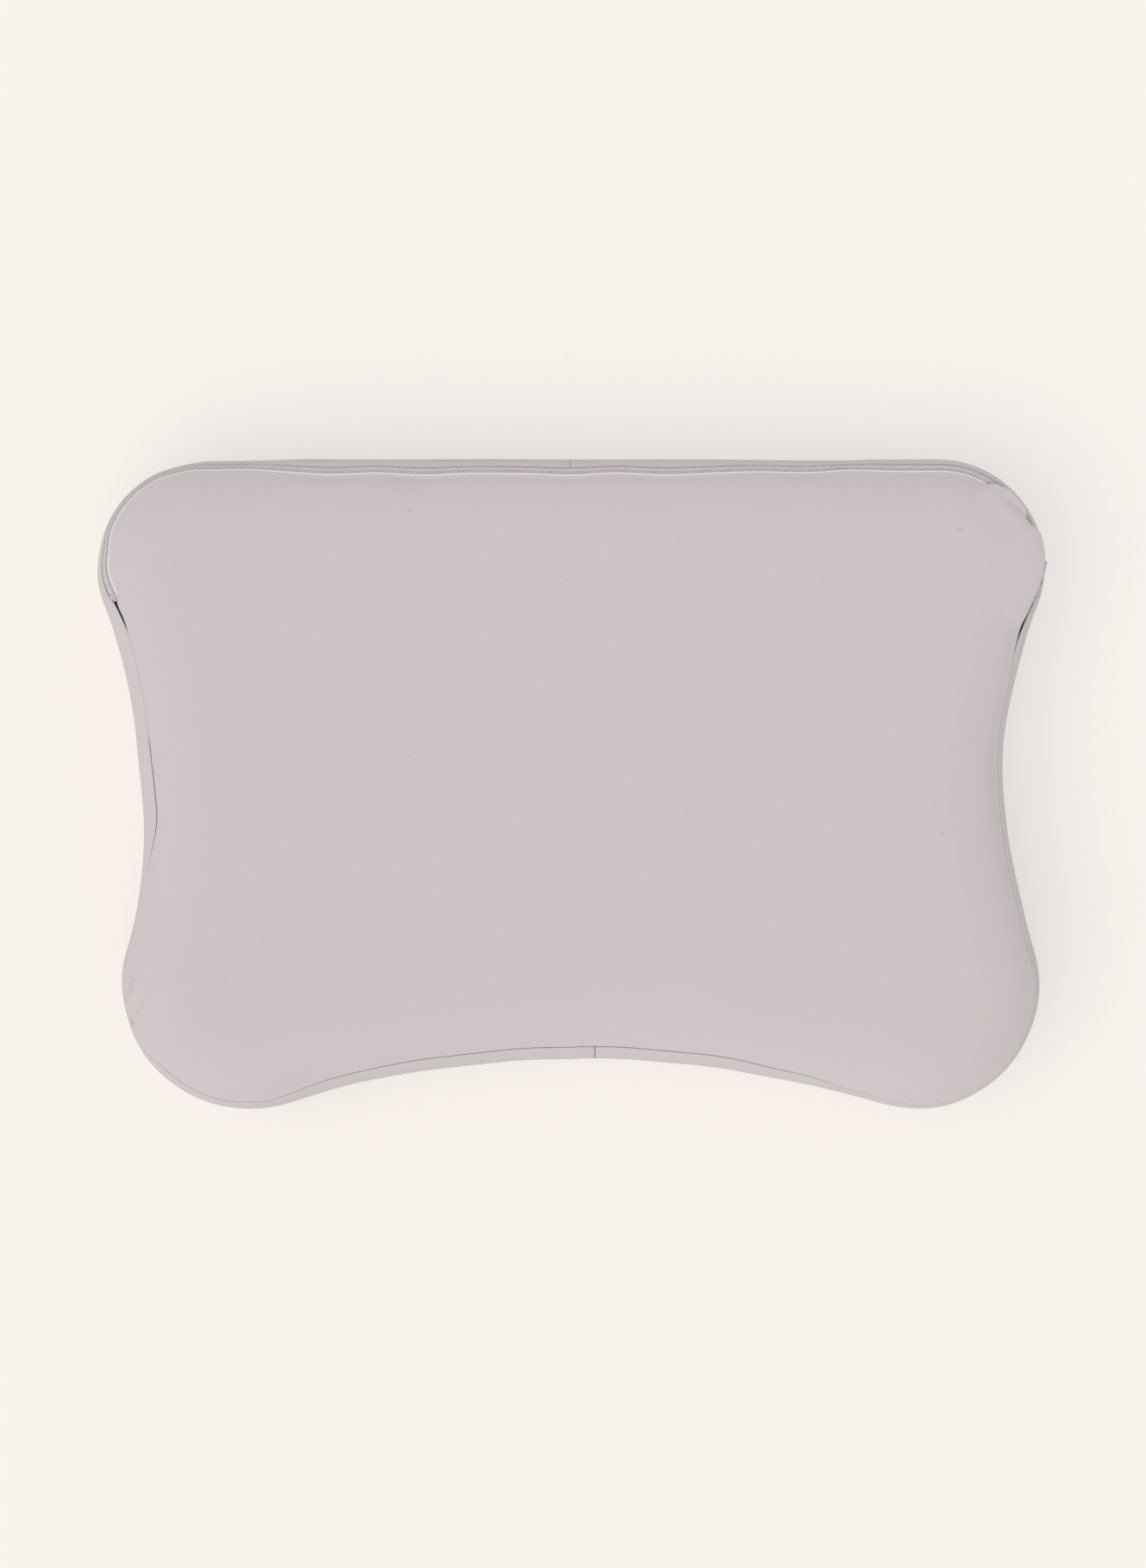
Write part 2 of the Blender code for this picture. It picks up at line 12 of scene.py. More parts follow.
import bmesh
import bpy
import numpy as np
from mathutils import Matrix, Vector

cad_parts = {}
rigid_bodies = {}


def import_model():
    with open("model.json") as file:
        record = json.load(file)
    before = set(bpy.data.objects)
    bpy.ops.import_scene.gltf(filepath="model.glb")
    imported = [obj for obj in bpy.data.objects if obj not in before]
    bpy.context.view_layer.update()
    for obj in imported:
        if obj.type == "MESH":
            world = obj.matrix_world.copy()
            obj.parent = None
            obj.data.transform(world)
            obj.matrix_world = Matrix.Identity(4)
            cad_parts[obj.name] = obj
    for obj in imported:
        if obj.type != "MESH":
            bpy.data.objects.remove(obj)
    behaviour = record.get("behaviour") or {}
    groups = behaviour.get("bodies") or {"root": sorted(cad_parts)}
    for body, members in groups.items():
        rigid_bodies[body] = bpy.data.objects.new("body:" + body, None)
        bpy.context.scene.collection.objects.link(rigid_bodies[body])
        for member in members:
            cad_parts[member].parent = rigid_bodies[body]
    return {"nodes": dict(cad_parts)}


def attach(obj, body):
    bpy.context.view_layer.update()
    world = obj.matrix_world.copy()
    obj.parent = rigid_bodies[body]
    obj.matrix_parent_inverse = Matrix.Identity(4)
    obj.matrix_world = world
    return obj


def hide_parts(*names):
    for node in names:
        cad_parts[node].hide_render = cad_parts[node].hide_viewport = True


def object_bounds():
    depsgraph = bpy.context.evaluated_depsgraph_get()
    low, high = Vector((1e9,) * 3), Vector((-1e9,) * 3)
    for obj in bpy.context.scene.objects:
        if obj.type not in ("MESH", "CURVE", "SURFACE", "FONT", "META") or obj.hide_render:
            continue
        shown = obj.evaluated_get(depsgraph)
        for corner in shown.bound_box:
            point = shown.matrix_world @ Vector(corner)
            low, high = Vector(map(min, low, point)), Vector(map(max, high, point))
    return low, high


for leftover in list(bpy.data.objects):
    bpy.data.objects.remove(leftover, do_unlink=True)

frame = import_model()
cad_low, cad_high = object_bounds()
print("CAD box", [round(side, 4) for side in cad_high - cad_low])

# %% [markdown]
# ## The outline
# A maker cuts a cushion from a card pattern drawn with compasses: round lobes, a hollow waist on each
# side and a long hollow on the near edge. So the outline is a chain of arcs that touch each other,
# plus one straight far edge. A place on it is a number called `turn`: the whole part says which
# stretch it lies on, and the rest says how far along that stretch.

# %% Arcs of the outline
UPPER_LOBE_RADIUS = 0.065
LOWER_LOBE_RADIUS = 0.075
LOWER_WIDTH = 0.544
WAIST_RADIUS = 0.311
HOLLOW_RADIUS = 0.5975
WIDTH = round(cad_high.x - cad_low.x, 3)
DEPTH = round(cad_high.y - cad_low.y, 3)
THICKNESS = round(cad_high.z, 3)

UPPER_CENTRE = Vector((WIDTH / 2 - UPPER_LOBE_RADIUS, DEPTH / 2 - UPPER_LOBE_RADIUS))
LOWER_CENTRE = Vector((LOWER_WIDTH / 2 - LOWER_LOBE_RADIUS, LOWER_LOBE_RADIUS - DEPTH / 2))


def touching_centre(first, first_radius, second, second_radius, radius):
    """Centre of the circle that touches both circles from outside, right of the line between them."""
    across = second - first
    reach_first = first_radius + radius
    reach_second = second_radius + radius
    along = (reach_first**2 - reach_second**2 + across.length_squared) / (2 * across.length)
    aside = math.sqrt(reach_first**2 - along**2)
    direction = across.normalized()
    return first + direction * along + Vector((direction.y, -direction.x)) * aside


def bearing(centre, point):
    return math.atan2(point.y - centre.y, point.x - centre.x)


def arc(centre, radius, start, end, hollow=False):
    """A stretch: its length, and what gives the point and the outward normal at a share of it."""

    def place(share):
        angle = start + (end - start) * share
        radial = Vector((math.cos(angle), math.sin(angle)))
        return centre + radial * radius, -radial if hollow else radial

    return radius * abs(end - start), place


def mirrored(stretch):
    length, place = stretch

    def flipped(share):
        point, normal = place(1 - share)
        return Vector((-point.x, point.y)), Vector((-normal.x, normal.y))

    return length, flipped


waist_centre = touching_centre(
    LOWER_CENTRE, LOWER_LOBE_RADIUS, UPPER_CENTRE, UPPER_LOBE_RADIUS, WAIST_RADIUS
)
hollow_drop = math.sqrt((LOWER_LOBE_RADIUS + HOLLOW_RADIUS) ** 2 - LOWER_CENTRE.x**2)
hollow_centre = Vector((0, LOWER_CENTRE.y - hollow_drop))
hollow_end = bearing(hollow_centre, LOWER_CENTRE)
waist_low = bearing(waist_centre, LOWER_CENTRE) % math.tau
waist_high = bearing(waist_centre, UPPER_CENTRE) % math.tau
ZIP_END_ANGLE = waist_high - math.pi

near_hollow = arc(hollow_centre, HOLLOW_RADIUS, math.pi / 2, hollow_end, hollow=True)
lower_lobe = arc(LOWER_CENTRE, LOWER_LOBE_RADIUS, hollow_end - math.pi, waist_low - math.pi)
waist = arc(waist_centre, WAIST_RADIUS, waist_low, waist_high, hollow=True)
upper_lobe = arc(UPPER_CENTRE, UPPER_LOBE_RADIUS, ZIP_END_ANGLE, math.pi / 2)
far_right = Vector((UPPER_CENTRE.x, DEPTH / 2))


def along_far_edge(share):
    return Vector((far_right.x * (1 - 2 * share), far_right.y)), Vector((0, 1))


far_edge = (2 * far_right.x, along_far_edge)

RIGHT_STRETCHES = [near_hollow, lower_lobe, waist, upper_lobe]
STRETCHES = RIGHT_STRETCHES + [far_edge] + [mirrored(stretch) for stretch in reversed(RIGHT_STRETCHES)]
ROUND = len(STRETCHES)
ZIP_START, ZIP_FINISH = 3, 6
BAND_JOIN = 0.046
print("Outline length", round(sum(length for length, _ in STRETCHES), 3))


def outline_at(turn):
    turn %= ROUND
    return STRETCHES[int(turn)][1](turn - int(turn))


# %% [markdown]
# ### Stations
# Cloth needs points close together along its edge. A list of turns, one every 4.4 mm or so, gives
# them, and each change of stretch is always in the list, so no arc is cut short.

# %% Stations round the outline
STATION_STEP = 0.0044


def turns_between(start, end, step=STATION_STEP):
    """Turns from start to end, about one step apart, with each change of stretch among them."""
    found = []
    low = start
    while low < end - 1e-9:
        high = min(end, math.floor(low + 1e-9) + 1)
        length = STRETCHES[int(low + 1e-9) % ROUND][0] * (high - low)
        count = max(1, round(length / step))
        found += [low + (high - low) * index / count for index in range(count)]
        low = high
    return found + [end]


whole_turns = turns_between(0, ROUND)[:-1]
print(len(whole_turns), "stations round the outline")

# %% [markdown]
# ## How cloth changes along the seam
# Sewn cloth is never even. The front seam wanders, the zip waves, and on the right far lobe the front
# cloth hangs over the zip like a small hood. Each of these is a short list of (turn, value) pairs with
# an easy curve between them, which reads like the notes on a pattern.

# %% Values that vary with the turn
def eased(share):
    share = min(1.0, max(0.0, share))
    return share * share * (3 - 2 * share)


def keyed(turn, keys):
    """The value at a turn, eased between the keys; the list closes on itself."""
    turn %= ROUND
    for (low, first), (high, second) in zip(keys, keys[1:]):
        if turn <= high:
            return first + (second - first) * eased((turn - low) / (high - low))
    return keys[-1][1]


def lobe_turn(degrees):
    """The turn of an angle on the right far lobe, anticlockwise from +X."""
    return ZIP_START + (math.radians(degrees) - ZIP_END_ANGLE) / (math.pi / 2 - ZIP_END_ANGLE)


def bump(distance, spread):
    return math.exp(-((distance / spread) ** 2))


# How far in from the outline the front seam runs, in millimetres
SEAM_INSET = (
    (0, 9.3), (0.45, 9.0), (0.7, 7.4), (0.9, 4.6), (1.15, 4.0), (1.5, 3.2), (1.9, 4.2), (2.0, 6.0),
    (2.2, 6.0), (2.5, 5.4), (2.72, 5.6), (2.86, 7.0), (3.0, 7.0), (4.04, 7.0), (4.15, 6.4), (4.24, 7.4),
    (4.36, 8.6), (4.82, 8.6), (4.95, 6.0), (5.06, 5.2), (5.4, 4.7), (5.6, 4.9),
    (5.78, 6.6), (6.0, 9.3), (6.1, 10.8),
    (6.35, 10.6), (6.6, 11.2), (6.76, 6.6), (6.84, 4.4), (7.0, 3.2), (7.38, 3.4), (7.5, 6.6), (7.75, 6.2),
    (7.95, 6.2), (8.2, 8.2), (8.5, 9.0), (9, 9.3),
)
# A fold's set-back from the seam line: open, as most of the seam shows, and shut, at its tight places
SEAM_GAP = 0.86
SHUT = 0.62
# From the seam line to the front cloth's folded edge and to the band's, in millimetres
FRONT_SET_BACK = (
    (0, SEAM_GAP), (2.80, SEAM_GAP), (2.90, 1.6), (2.97, 3.2), (3.0, 4.5), (5.98, 4.5), (6.015, 1.6),
    (6.07, 1.3), (6.1, SHUT), (6.36, SHUT), (6.42, SEAM_GAP), (6.7, SEAM_GAP), (6.8, SHUT), (7.3, SHUT),
    (7.4, SEAM_GAP), (9, SEAM_GAP),
)
BAND_SET_BACK = (
    (0, SEAM_GAP), (2.86, SEAM_GAP), (2.97, 2.6), (3.0, 3.9), (4.05, 3.9), (4.16, 3.2), (5.5, 3.1),
    (5.7, 3.3), (5.86, 3.9), (5.98, 3.9), (6.015, 1.6), (6.07, 1.2), (6.1, SHUT), (6.36, SHUT),
    (6.42, SEAM_GAP), (6.7, SEAM_GAP), (6.8, SHUT), (7.3, SHUT), (7.4, SEAM_GAP), (9, SEAM_GAP),
)
# How far in from the outline the hood's fold reaches; past the plain edge there is no hood
NO_HOOD = 14.0
HOOD_NOSE = (
    (0, NO_HOOD), (2.80, NO_HOOD), (2.88, 8.2), (lobe_turn(-26), 7.7), (lobe_turn(-20), 7.2),
    (lobe_turn(-12), 6.0), (lobe_turn(-3), 4.5), (lobe_turn(4), 3.8), (lobe_turn(17), 3.8),
    (lobe_turn(19.5), 4.2), (lobe_turn(24), 7.6), (lobe_turn(28), 7.6), (lobe_turn(33), 5.4),
    (lobe_turn(36), 5.4), (lobe_turn(47), 5.6), (lobe_turn(54), 7.4), (lobe_turn(61), 10.0),
    (lobe_turn(68), NO_HOOD), (9, NO_HOOD),
)
# How far the side band is drawn in below the zip, in millimetres
BAND_TUCK = ((0, 0), (4.86, 0), (4.96, 1.6), (5.15, 2.2), (5.5, 2.2), (5.72, 0.8), (5.9, 0), (9, 0))
MM = 0.001
WAVES_RISE = 0.04
WAVES_DELAY = 0.4
WAVES_FALL = 0.03
ZIP_WAVES = ((0.073, 0.45, 1.1), (0.046, 0.22, 3.9))
RIPPLES = ((11.0, 0.30, 0.4), (17.3, 0.22, 2.1), (29.1, 0.14, 5.0))


def seam_inset(turn):
    waves = 0.0
    if 4 < turn % ROUND < 5:
        along = (turn % ROUND - 4) * far_edge[0]
        window = eased(along / WAVES_RISE - WAVES_DELAY) * eased((far_edge[0] - along) / WAVES_FALL)
        swing = 0.0
        for span, size, start in ZIP_WAVES:
            swing += size * math.sin(math.tau * along / span + start)
        waves = window * swing
    return (keyed(turn, SEAM_INSET) + waves) * MM


middle_insets = [round(seam_inset(stretch + 0.5) / MM, 1) for stretch in range(ROUND)]
print("Seam inset at the middle of each stretch, in mm", middle_insets)

# %% [markdown]
# ## The edge
# Seen in section, the cover is a rounded box: a foot, a slightly bulging side, a shoulder, and a front
# that rises gently to a flat middle. The seam is a place on the shoulder. All layers are drawn with
# the same helper, which turns (turn, inset, height) into a point in space.

# %% Section of the cover
EDGE_RADIUS = 0.014
SIDE_BULGE = 0.002
CROWN_RISE = 0.010
SHOULDER = Vector((SIDE_BULGE + EDGE_RADIUS, THICKNESS - CROWN_RISE - EDGE_RADIUS))
FOOT = Vector((SIDE_BULGE + EDGE_RADIUS, EDGE_RADIUS))
CROWN_END = 0.056
FOOT_SEAM = math.radians(-50)
# The lower lobes sit a little to the right: how far, where the shift starts and over what depth
LOWER_SHIFT = 0.006
SHIFT_START = 0.03
SHIFT_SPAN = 0.13
# The outline's small ripples: how far in they are felt, and how much is left of them at the hood
RIPPLE_SPREAD = 0.030
HOOD_CALM = 0.15
TUCK_HEIGHT, TUCK_SPREAD = 0.070, 0.017


def cover_point(turn, inset, height):
    """A point of the cover or of a layer under it."""
    point, normal = outline_at(turn)
    around = turn % ROUND * math.tau / ROUND
    near_edge = bump(inset, RIPPLE_SPREAD)
    ripple = sum(size * math.sin(count * around + start) for count, size, start in RIPPLES)
    calm = HOOD_CALM if 2.9 < turn % ROUND < 4.1 else 1.0
    tuck = keyed(turn, BAND_TUCK) * bump(height - TUCK_HEIGHT, TUCK_SPREAD)
    inset += (tuck + ripple * calm * near_edge) * MM
    flat = point - normal * inset
    shift = LOWER_SHIFT * eased((SHIFT_START - flat.y) / SHIFT_SPAN)
    return Vector((flat.x + shift, flat.y, height))


def shoulder_spot(angle, depth=0.0):
    """(inset, height) on the rounded shoulder; the angle is 0 at the side."""
    radius = EDGE_RADIUS - depth
    past = max(0.0, angle - math.pi / 2) * EDGE_RADIUS
    angle = min(angle, math.pi / 2)
    return SHOULDER.x - radius * math.cos(angle) + past, SHOULDER.y + radius * math.sin(angle)


def seam_angle(turn):
    return math.acos((SHOULDER.x - seam_inset(turn)) / EDGE_RADIUS)


def across_seam(turn, across, lift):
    """(inset, height) beside the seam line: across goes to the front, lift goes outwards."""
    angle = seam_angle(turn)
    inset, height = shoulder_spot(angle)
    return (
        inset + across * math.sin(angle) - lift * math.cos(angle),
        height + across * math.cos(angle) + lift * math.sin(angle),
    )


def resampled(points, shares):
    """The points at these shares of a polyline's length."""
    points = np.array(points)
    steps = np.linalg.norm(np.diff(points, axis=0), axis=1)
    reach = np.concatenate([[0], np.cumsum(steps)])
    wanted = np.array(shares) * reach[-1]
    return np.stack([np.interp(wanted, reach, points[:, axis]) for axis in (0, 1)], axis=1)


print("the seam lies", round(math.degrees(seam_angle(0))), "degrees up the shoulder at the near middle")

# %% [markdown]
# ## The front panel's section
# Along a plain seam the cloth comes over the shoulder, rolls into the groove and goes down inside as
# the seam allowance. Along the zip it is folded under and lies on the tape. At the hood the same fold
# reaches out over the chain, so that the slider runs underneath.

# %% Section of the front panel
TOP_ROWS = 17
EDGE_ROWS = 4
ALLOWANCE_ROWS = 2
FOLD_RADIUS = 0.00065
HOOD_HEIGHT = 0.0923
HOOD_SLOPE = 0.22
KNEE = math.radians(54)
CROWN_POWER = 3.4
HOOD_REACH = 0.55
HOOD_EASE = 0.0022
# The set-back, in millimetres, from which a fold lies flat under its cloth
FRONT_FLAT_FOLD = 3.5
# How far a seam allowance runs in, and how much further one that lies flat
ALLOWANCE_RUN = 0.0022
UNDER_RUN = 0.0028
ROW_CROWDING = 1.35
top_shares = [(row / (TOP_ROWS - 1)) ** ROW_CROWDING for row in range(TOP_ROWS)]
hood_rows = np.array([[1 - eased(share / HOOD_REACH)] for share in top_shares])


def folded_edge(tip, outward, along, under_share):
    """Round a fold and on inside: down into a seam at 0, back under the cloth at 1."""
    sweep = math.pi / 2 * (1 + under_share)
    centre = tip - outward * FOLD_RADIUS
    found = []
    for step in range(1, EDGE_ROWS + 1):
        angle = sweep * step / EDGE_ROWS
        found.append(centre + (outward * math.cos(angle) + along * math.sin(angle)) * FOLD_RADIUS)
    run = along * math.cos(sweep) - outward * math.sin(sweep)
    length = ALLOWANCE_RUN + UNDER_RUN * under_share
    last = found[-1]
    return found + [last + run * length * step / ALLOWANCE_ROWS for step in range(1, ALLOWANCE_ROWS + 1)]


def crown_curve(start, count=30):
    """From a point near the edge to the flat middle: steep first, then level."""
    span = CROWN_END - start[0]
    rise = THICKNESS - start[1]
    found = []
    for step in range(count + 1):
        share = step / count
        found.append((start[0] + span * share, start[1] + rise * (1 - (1 - share) ** CROWN_POWER)))
    return found


def plain_top(turn):
    """Up the shoulder from the seam or the zip, then over the crown; and the slope it starts at."""
    start = seam_angle(turn) + keyed(turn, FRONT_SET_BACK) * MM / EDGE_RADIUS
    knee = max(KNEE, start + math.radians(3))
    shoulder = [shoulder_spot(start + (knee - start) * step / 8) for step in range(8)]
    return shoulder + crown_curve(shoulder_spot(knee)), math.pi / 2 - start


def front_section(turn):
    """Rows from the crown's end out to the edge, round the fold and in."""
    top, slope = plain_top(turn)
    under_share = min(1.0, keyed(turn, FRONT_SET_BACK) / FRONT_FLAT_FOLD)
    nose = keyed(turn, HOOD_NOSE) * MM
    hood = eased((top[0][0] - nose) / HOOD_EASE)
    points = resampled(top, top_shares)
    if hood > 0:
        over = resampled(crown_curve((nose, HOOD_HEIGHT)), top_shares)
        share = hood * hood_rows
        points = points * (1 - share) + over * share
        slope = slope * (1 - hood) + math.atan(HOOD_SLOPE) * hood
    outward = Vector((-math.sin(slope), math.cos(slope)))
    along = Vector((-math.cos(slope), -math.sin(slope)))
    edge = folded_edge(Vector(points[0]), outward, along, under_share)
    return [Vector(pair) for pair in points[::-1]] + edge


print(len(front_section(0)), "rows in the front panel's section")

# %% [markdown]
# ## Sections of the band and the back
# The band runs from the back seam up the side, which bulges a little, to the front seam or the zip.
# The back panel is flat and turns up at its foot. Both end in the same folded edge as the front.

# %% Sections of the side band and the back panel
SIDE_ROWS = 19
SEAM_HALF_GAP = 0.00082
BAND_FLAT_FOLD = 2.4


def foot_spot(angle, depth=0.0):
    radius = EDGE_RADIUS - depth
    return FOOT.x - radius * math.cos(angle), FOOT.y + radius * math.sin(angle)


def edge_axes(angle):
    """Outwards, and up along the cover, on a rounded edge."""
    return Vector((-math.cos(angle), math.sin(angle))), Vector((math.sin(angle), math.cos(angle)))


def side_line(low, high):
    """The side from a foot angle to a shoulder angle."""
    side = [foot_spot(low * (1 - step / 8)) for step in range(8)]
    for step in range(9):
        share = step / 8
        bulge = SIDE_BULGE * (1 - (2 * share - 1) ** 2)
        side.append((SIDE_BULGE - bulge, FOOT.y + (SHOULDER.y - FOOT.y) * share))
    return side + [shoulder_spot(high * step / 8) for step in range(1, 9)]


def band_section(turn):
    """Rows from inside the back seam, round its fold, up the side and into the front seam."""
    low = FOOT_SEAM + SEAM_HALF_GAP / EDGE_RADIUS
    high = seam_angle(turn) - keyed(turn, BAND_SET_BACK) * MM / EDGE_RADIUS
    under_share = min(1.0, keyed(turn, BAND_SET_BACK) / BAND_FLAT_FOLD)
    points = resampled(side_line(low, high), [row / (SIDE_ROWS - 1) for row in range(SIDE_ROWS)])
    outward, up = edge_axes(high)
    upper = folded_edge(Vector(points[-1]), outward, up, under_share)
    outward, up = edge_axes(low)
    lower = folded_edge(Vector(points[0]), outward, -up, 0)
    return lower[::-1] + [Vector(pair) for pair in points] + upper


def back_section(_turn):
    """Rows from the flat back out to the foot, up to the back seam and in."""
    angle = FOOT_SEAM - SEAM_HALF_GAP / EDGE_RADIUS
    flat = [Vector((FOOT.x + (CROWN_END - FOOT.x) * (1 - step / 4), 0.0)) for step in range(4)]
    turn_up = [Vector(foot_spot(-math.pi / 2 + (angle + math.pi / 2) * step / 5)) for step in range(6)]
    outward, up = edge_axes(angle)
    return flat + turn_up + folded_edge(turn_up[-1], outward, up, 0)


print(len(band_section(0)), "rows in the band,", len(back_section(0)), "in the back panel")

# %% [markdown]
# ## Extruding cloth from row to row
# A pattern piece is a row of edges that is extruded again and again, and each new row is moved to its
# place in the section. The panels are closed rings whose middle is filled with shrinking rings, and
# the band and the tapes are open strips. `bmesh.ops.extrude_edge_only` makes the faces, so no face
# list is written by hand. Each point keeps its place along and across the cloth, which later becomes
# the UV map that the weave follows.

# %% Rows of edges, and a finished piece
MIDDLE = Vector((0.0, 0.012))
MIDDLE_RINGS = 9
# How much of the last ring is left for the face in the middle, and how the rings crowd towards the rim
MIDDLE_LEFT = 0.35
RING_CROWDING = 0.9


def extruded(shape, edges, place):
    """Extrudes the edges once, puts the new points in place and gives back the new edges."""
    grown = bmesh.ops.extrude_edge_only(shape, edges=edges)["geom"]
    for item in grown:
        if isinstance(item, bmesh.types.BMVert):
            place(item)
    return [item for item in grown if isinstance(item, bmesh.types.BMEdge)]


def object_from(shape, name):
    mesh = bpy.data.meshes.new(name)
    shape.to_mesh(mesh)
    shape.free()
    mesh.shade_smooth()
    made = bpy.data.objects.new(name, mesh)
    bpy.context.scene.collection.objects.link(made)
    return made


print("the front and back panels close in", MIDDLE_RINGS, "rings round", list(MIDDLE))

# %% [markdown]
# ### From rows to cloth
# The first row lies on the outline. Every further row is an extrusion of the one before, moved to its
# place in the section, and each point remembers its station and row.

# %% Cloth from rows
def cloth_from_rows(name, turns, section, closed, middle_height=None):
    """A surface whose rows follow a section round the outline; a middle height fills the centre."""
    sections = [section(turn) for turn in turns]
    shape = bmesh.new()
    station_of = shape.verts.layers.int.new("station")
    row_of = shape.verts.layers.int.new("row")
    first = []
    for index, turn in enumerate(turns):
        vertex = shape.verts.new(cover_point(turn, *sections[index][0]))
        vertex[station_of] = index
        first.append(vertex)
    ends = list(zip(first, first[1:] + first[:1])) if closed else list(zip(first, first[1:]))
    start_edges = [shape.edges.new(pair) for pair in ends]
    edges = start_edges
    for row in range(1, len(sections[0])):

        def to_row(vertex, row=row):
            index = vertex[station_of]
            vertex.co = cover_point(turns[index], *sections[index][row])
            vertex[row_of] = row

        edges = extruded(shape, edges, to_row)
    if middle_height is not None:
        rim = {vertex[station_of]: vertex.co.copy() for vertex in first}
        edges = start_edges
        for ring in range(1, MIDDLE_RINGS + 1):
            share = 1 - (ring / (MIDDLE_RINGS + MIDDLE_LEFT)) ** RING_CROWDING

            def to_ring(vertex, ring=ring, share=share):
                spot = MIDDLE + (rim[vertex[station_of]].xy - MIDDLE) * share
                vertex.co = (spot.x, spot.y, middle_height(share))
                vertex[row_of] = -ring

            edges = extruded(shape, edges, to_ring)
        bmesh.ops.contextual_create(shape, geom=edges)
    bmesh.ops.recalc_face_normals(shape, faces=shape.faces)
    return shape


def facing_out(shape, inner):
    """Turns an open surface so that its faces point away from a point inside the cushion."""
    total = 0.0
    for face in shape.faces:
        total += (face.calc_center_median() - inner).dot(face.normal) * face.calc_area()
    if total < 0:
        bmesh.ops.reverse_faces(shape, faces=shape.faces)


INSIDE = Vector((0, 0, THICKNESS / 2))
print("faces point away from", [round(value, 3) for value in INSIDE])

# %% [markdown]
# ### Weave and thickness
# The weave needs a map in metres, so that a thread is as wide on the band as on the front. The cloth
# is made a surface first; its thickness comes last, inwards, from a modifier.

# %% Weave map, finer faces and thickness
# The outline's usual distance from the middle, which turns an angle into cloth length
BAND_MEAN_REACH = 0.28


def add_weave_map(made, across_band=False):
    """A UV map in metres of cloth: from above on a panel, along and up on the band."""
    mesh = made.data
    layer = mesh.uv_layers.new(name="weave")
    spots = np.empty(len(mesh.vertices) * 3, np.float32)
    mesh.vertices.foreach_get("co", spots)
    spots = spots.reshape(-1, 3)
    if across_band:
        around = np.arctan2(spots[:, 1], spots[:, 0])
        flat = np.stack([around * BAND_MEAN_REACH, spots[:, 2]], axis=1)
    else:
        flat = spots[:, :2]
    corners = np.empty(len(mesh.loops), np.int32)
    mesh.loops.foreach_get("vertex_index", corners)
    layer.data.foreach_set("uv", flat[corners].astype(np.float32).reshape(-1))


def subdivided(made):
    """Each face becomes four, and the new points follow the curve of their neighbours."""
    shape = bmesh.new()
    shape.from_mesh(made.data)
    bmesh.ops.subdivide_edges(shape, edges=shape.edges, cuts=1, smooth=1.0, use_grid_fill=True)
    shape.to_mesh(made.data)
    shape.free()
    made.data.shade_smooth()
    return made


def given_thickness(made, thickness):
    modifier = made.modifiers.new("cloth", "SOLIDIFY")
    modifier.thickness = thickness
    modifier.offset = -1
    return made


print("the band's weave map is", round(math.tau * BAND_MEAN_REACH, 2), "m round")

# %% [markdown]
# ## The front panel
# The cut panel is pulled over the foam and pushed up by it. A cloth simulation shows how such a panel
# settles: its seam is pinned, the foam's push is an inner pressure, and gravity is off. The simulated
# movement is capped, because foam stops the cloth from going far. Creases come afterwards, as pinch
# lines on the finer mesh.

# %% Cut and settle the front panel
CLOTH_THICKNESS = 0.0005
SIM_FRAMES = 20
SIM_CAP = 0.0010
EDGE_HOLD_ROWS = 9
SIM_PRESSURE = 4.0
DOME_RISE = 0.0008


def middle_dome(share):
    return THICKNESS + DOME_RISE * (1 - share**2)


def settle(made, pinned_from):
    """Runs cloth simulation with the edge rows pinned, and keeps a capped share of the movement."""
    rest = np.array([vertex.co for vertex in made.data.vertices])
    rows = list(made.data.attributes["row"].data)
    group = made.vertex_groups.new(name="sewn")
    group.add([k for k, item in enumerate(rows) if item.value >= pinned_from], 1.0, "REPLACE")
    cloth = made.modifiers.new("settling", "CLOTH")
    cloth.settings.quality = 5
    cloth.settings.vertex_group_mass = "sewn"
    cloth.settings.use_pressure = True
    cloth.settings.uniform_pressure_force = SIM_PRESSURE
    cloth.settings.effector_weights.gravity = 0
    cloth.settings.tension_stiffness = 40
    cloth.settings.compression_stiffness = 40
    cloth.settings.shear_stiffness = 15
    cloth.settings.bending_stiffness = 2
    cloth.collision_settings.use_collision = False
    scene = bpy.context.scene
    for number in range(1, SIM_FRAMES + 1):
        scene.frame_set(number)
    graph = bpy.context.evaluated_depsgraph_get()
    moved = np.array([vertex.co for vertex in made.evaluated_get(graph).data.vertices])
    made.modifiers.clear()
    made.vertex_groups.clear()
    scene.frame_set(1)
    shift = moved - rest
    length = np.linalg.norm(shift, axis=1, keepdims=True)
    held = np.array([eased((pinned_from - item.value) / EDGE_HOLD_ROWS) for item in rows])
    shift *= SIM_CAP * np.tanh(length / SIM_CAP) / np.maximum(length, 1e-9) * held[:, None]
    made.data.vertices.foreach_set("co", (rest + shift).astype(np.float32).reshape(-1))
    print(made.name, "settled by up to", round(float(np.abs(shift).max()) / MM, 2), "mm")


shape = cloth_from_rows("front_cloth", whole_turns, front_section, True, middle_dome)
facing_out(shape, INSIDE)
front_cloth = object_from(shape, "front_cloth")
settle(front_cloth, TOP_ROWS - 2)
subdivided(front_cloth)
print("front cloth has", len(front_cloth.data.polygons), "faces")

# %% [markdown]
# ### Creases
# A crease is a shallow valley along a short line, often with a soft ridge beside it. Each line here is
# two points in plan, a depth and a width. Points near a line sink along their own normal.

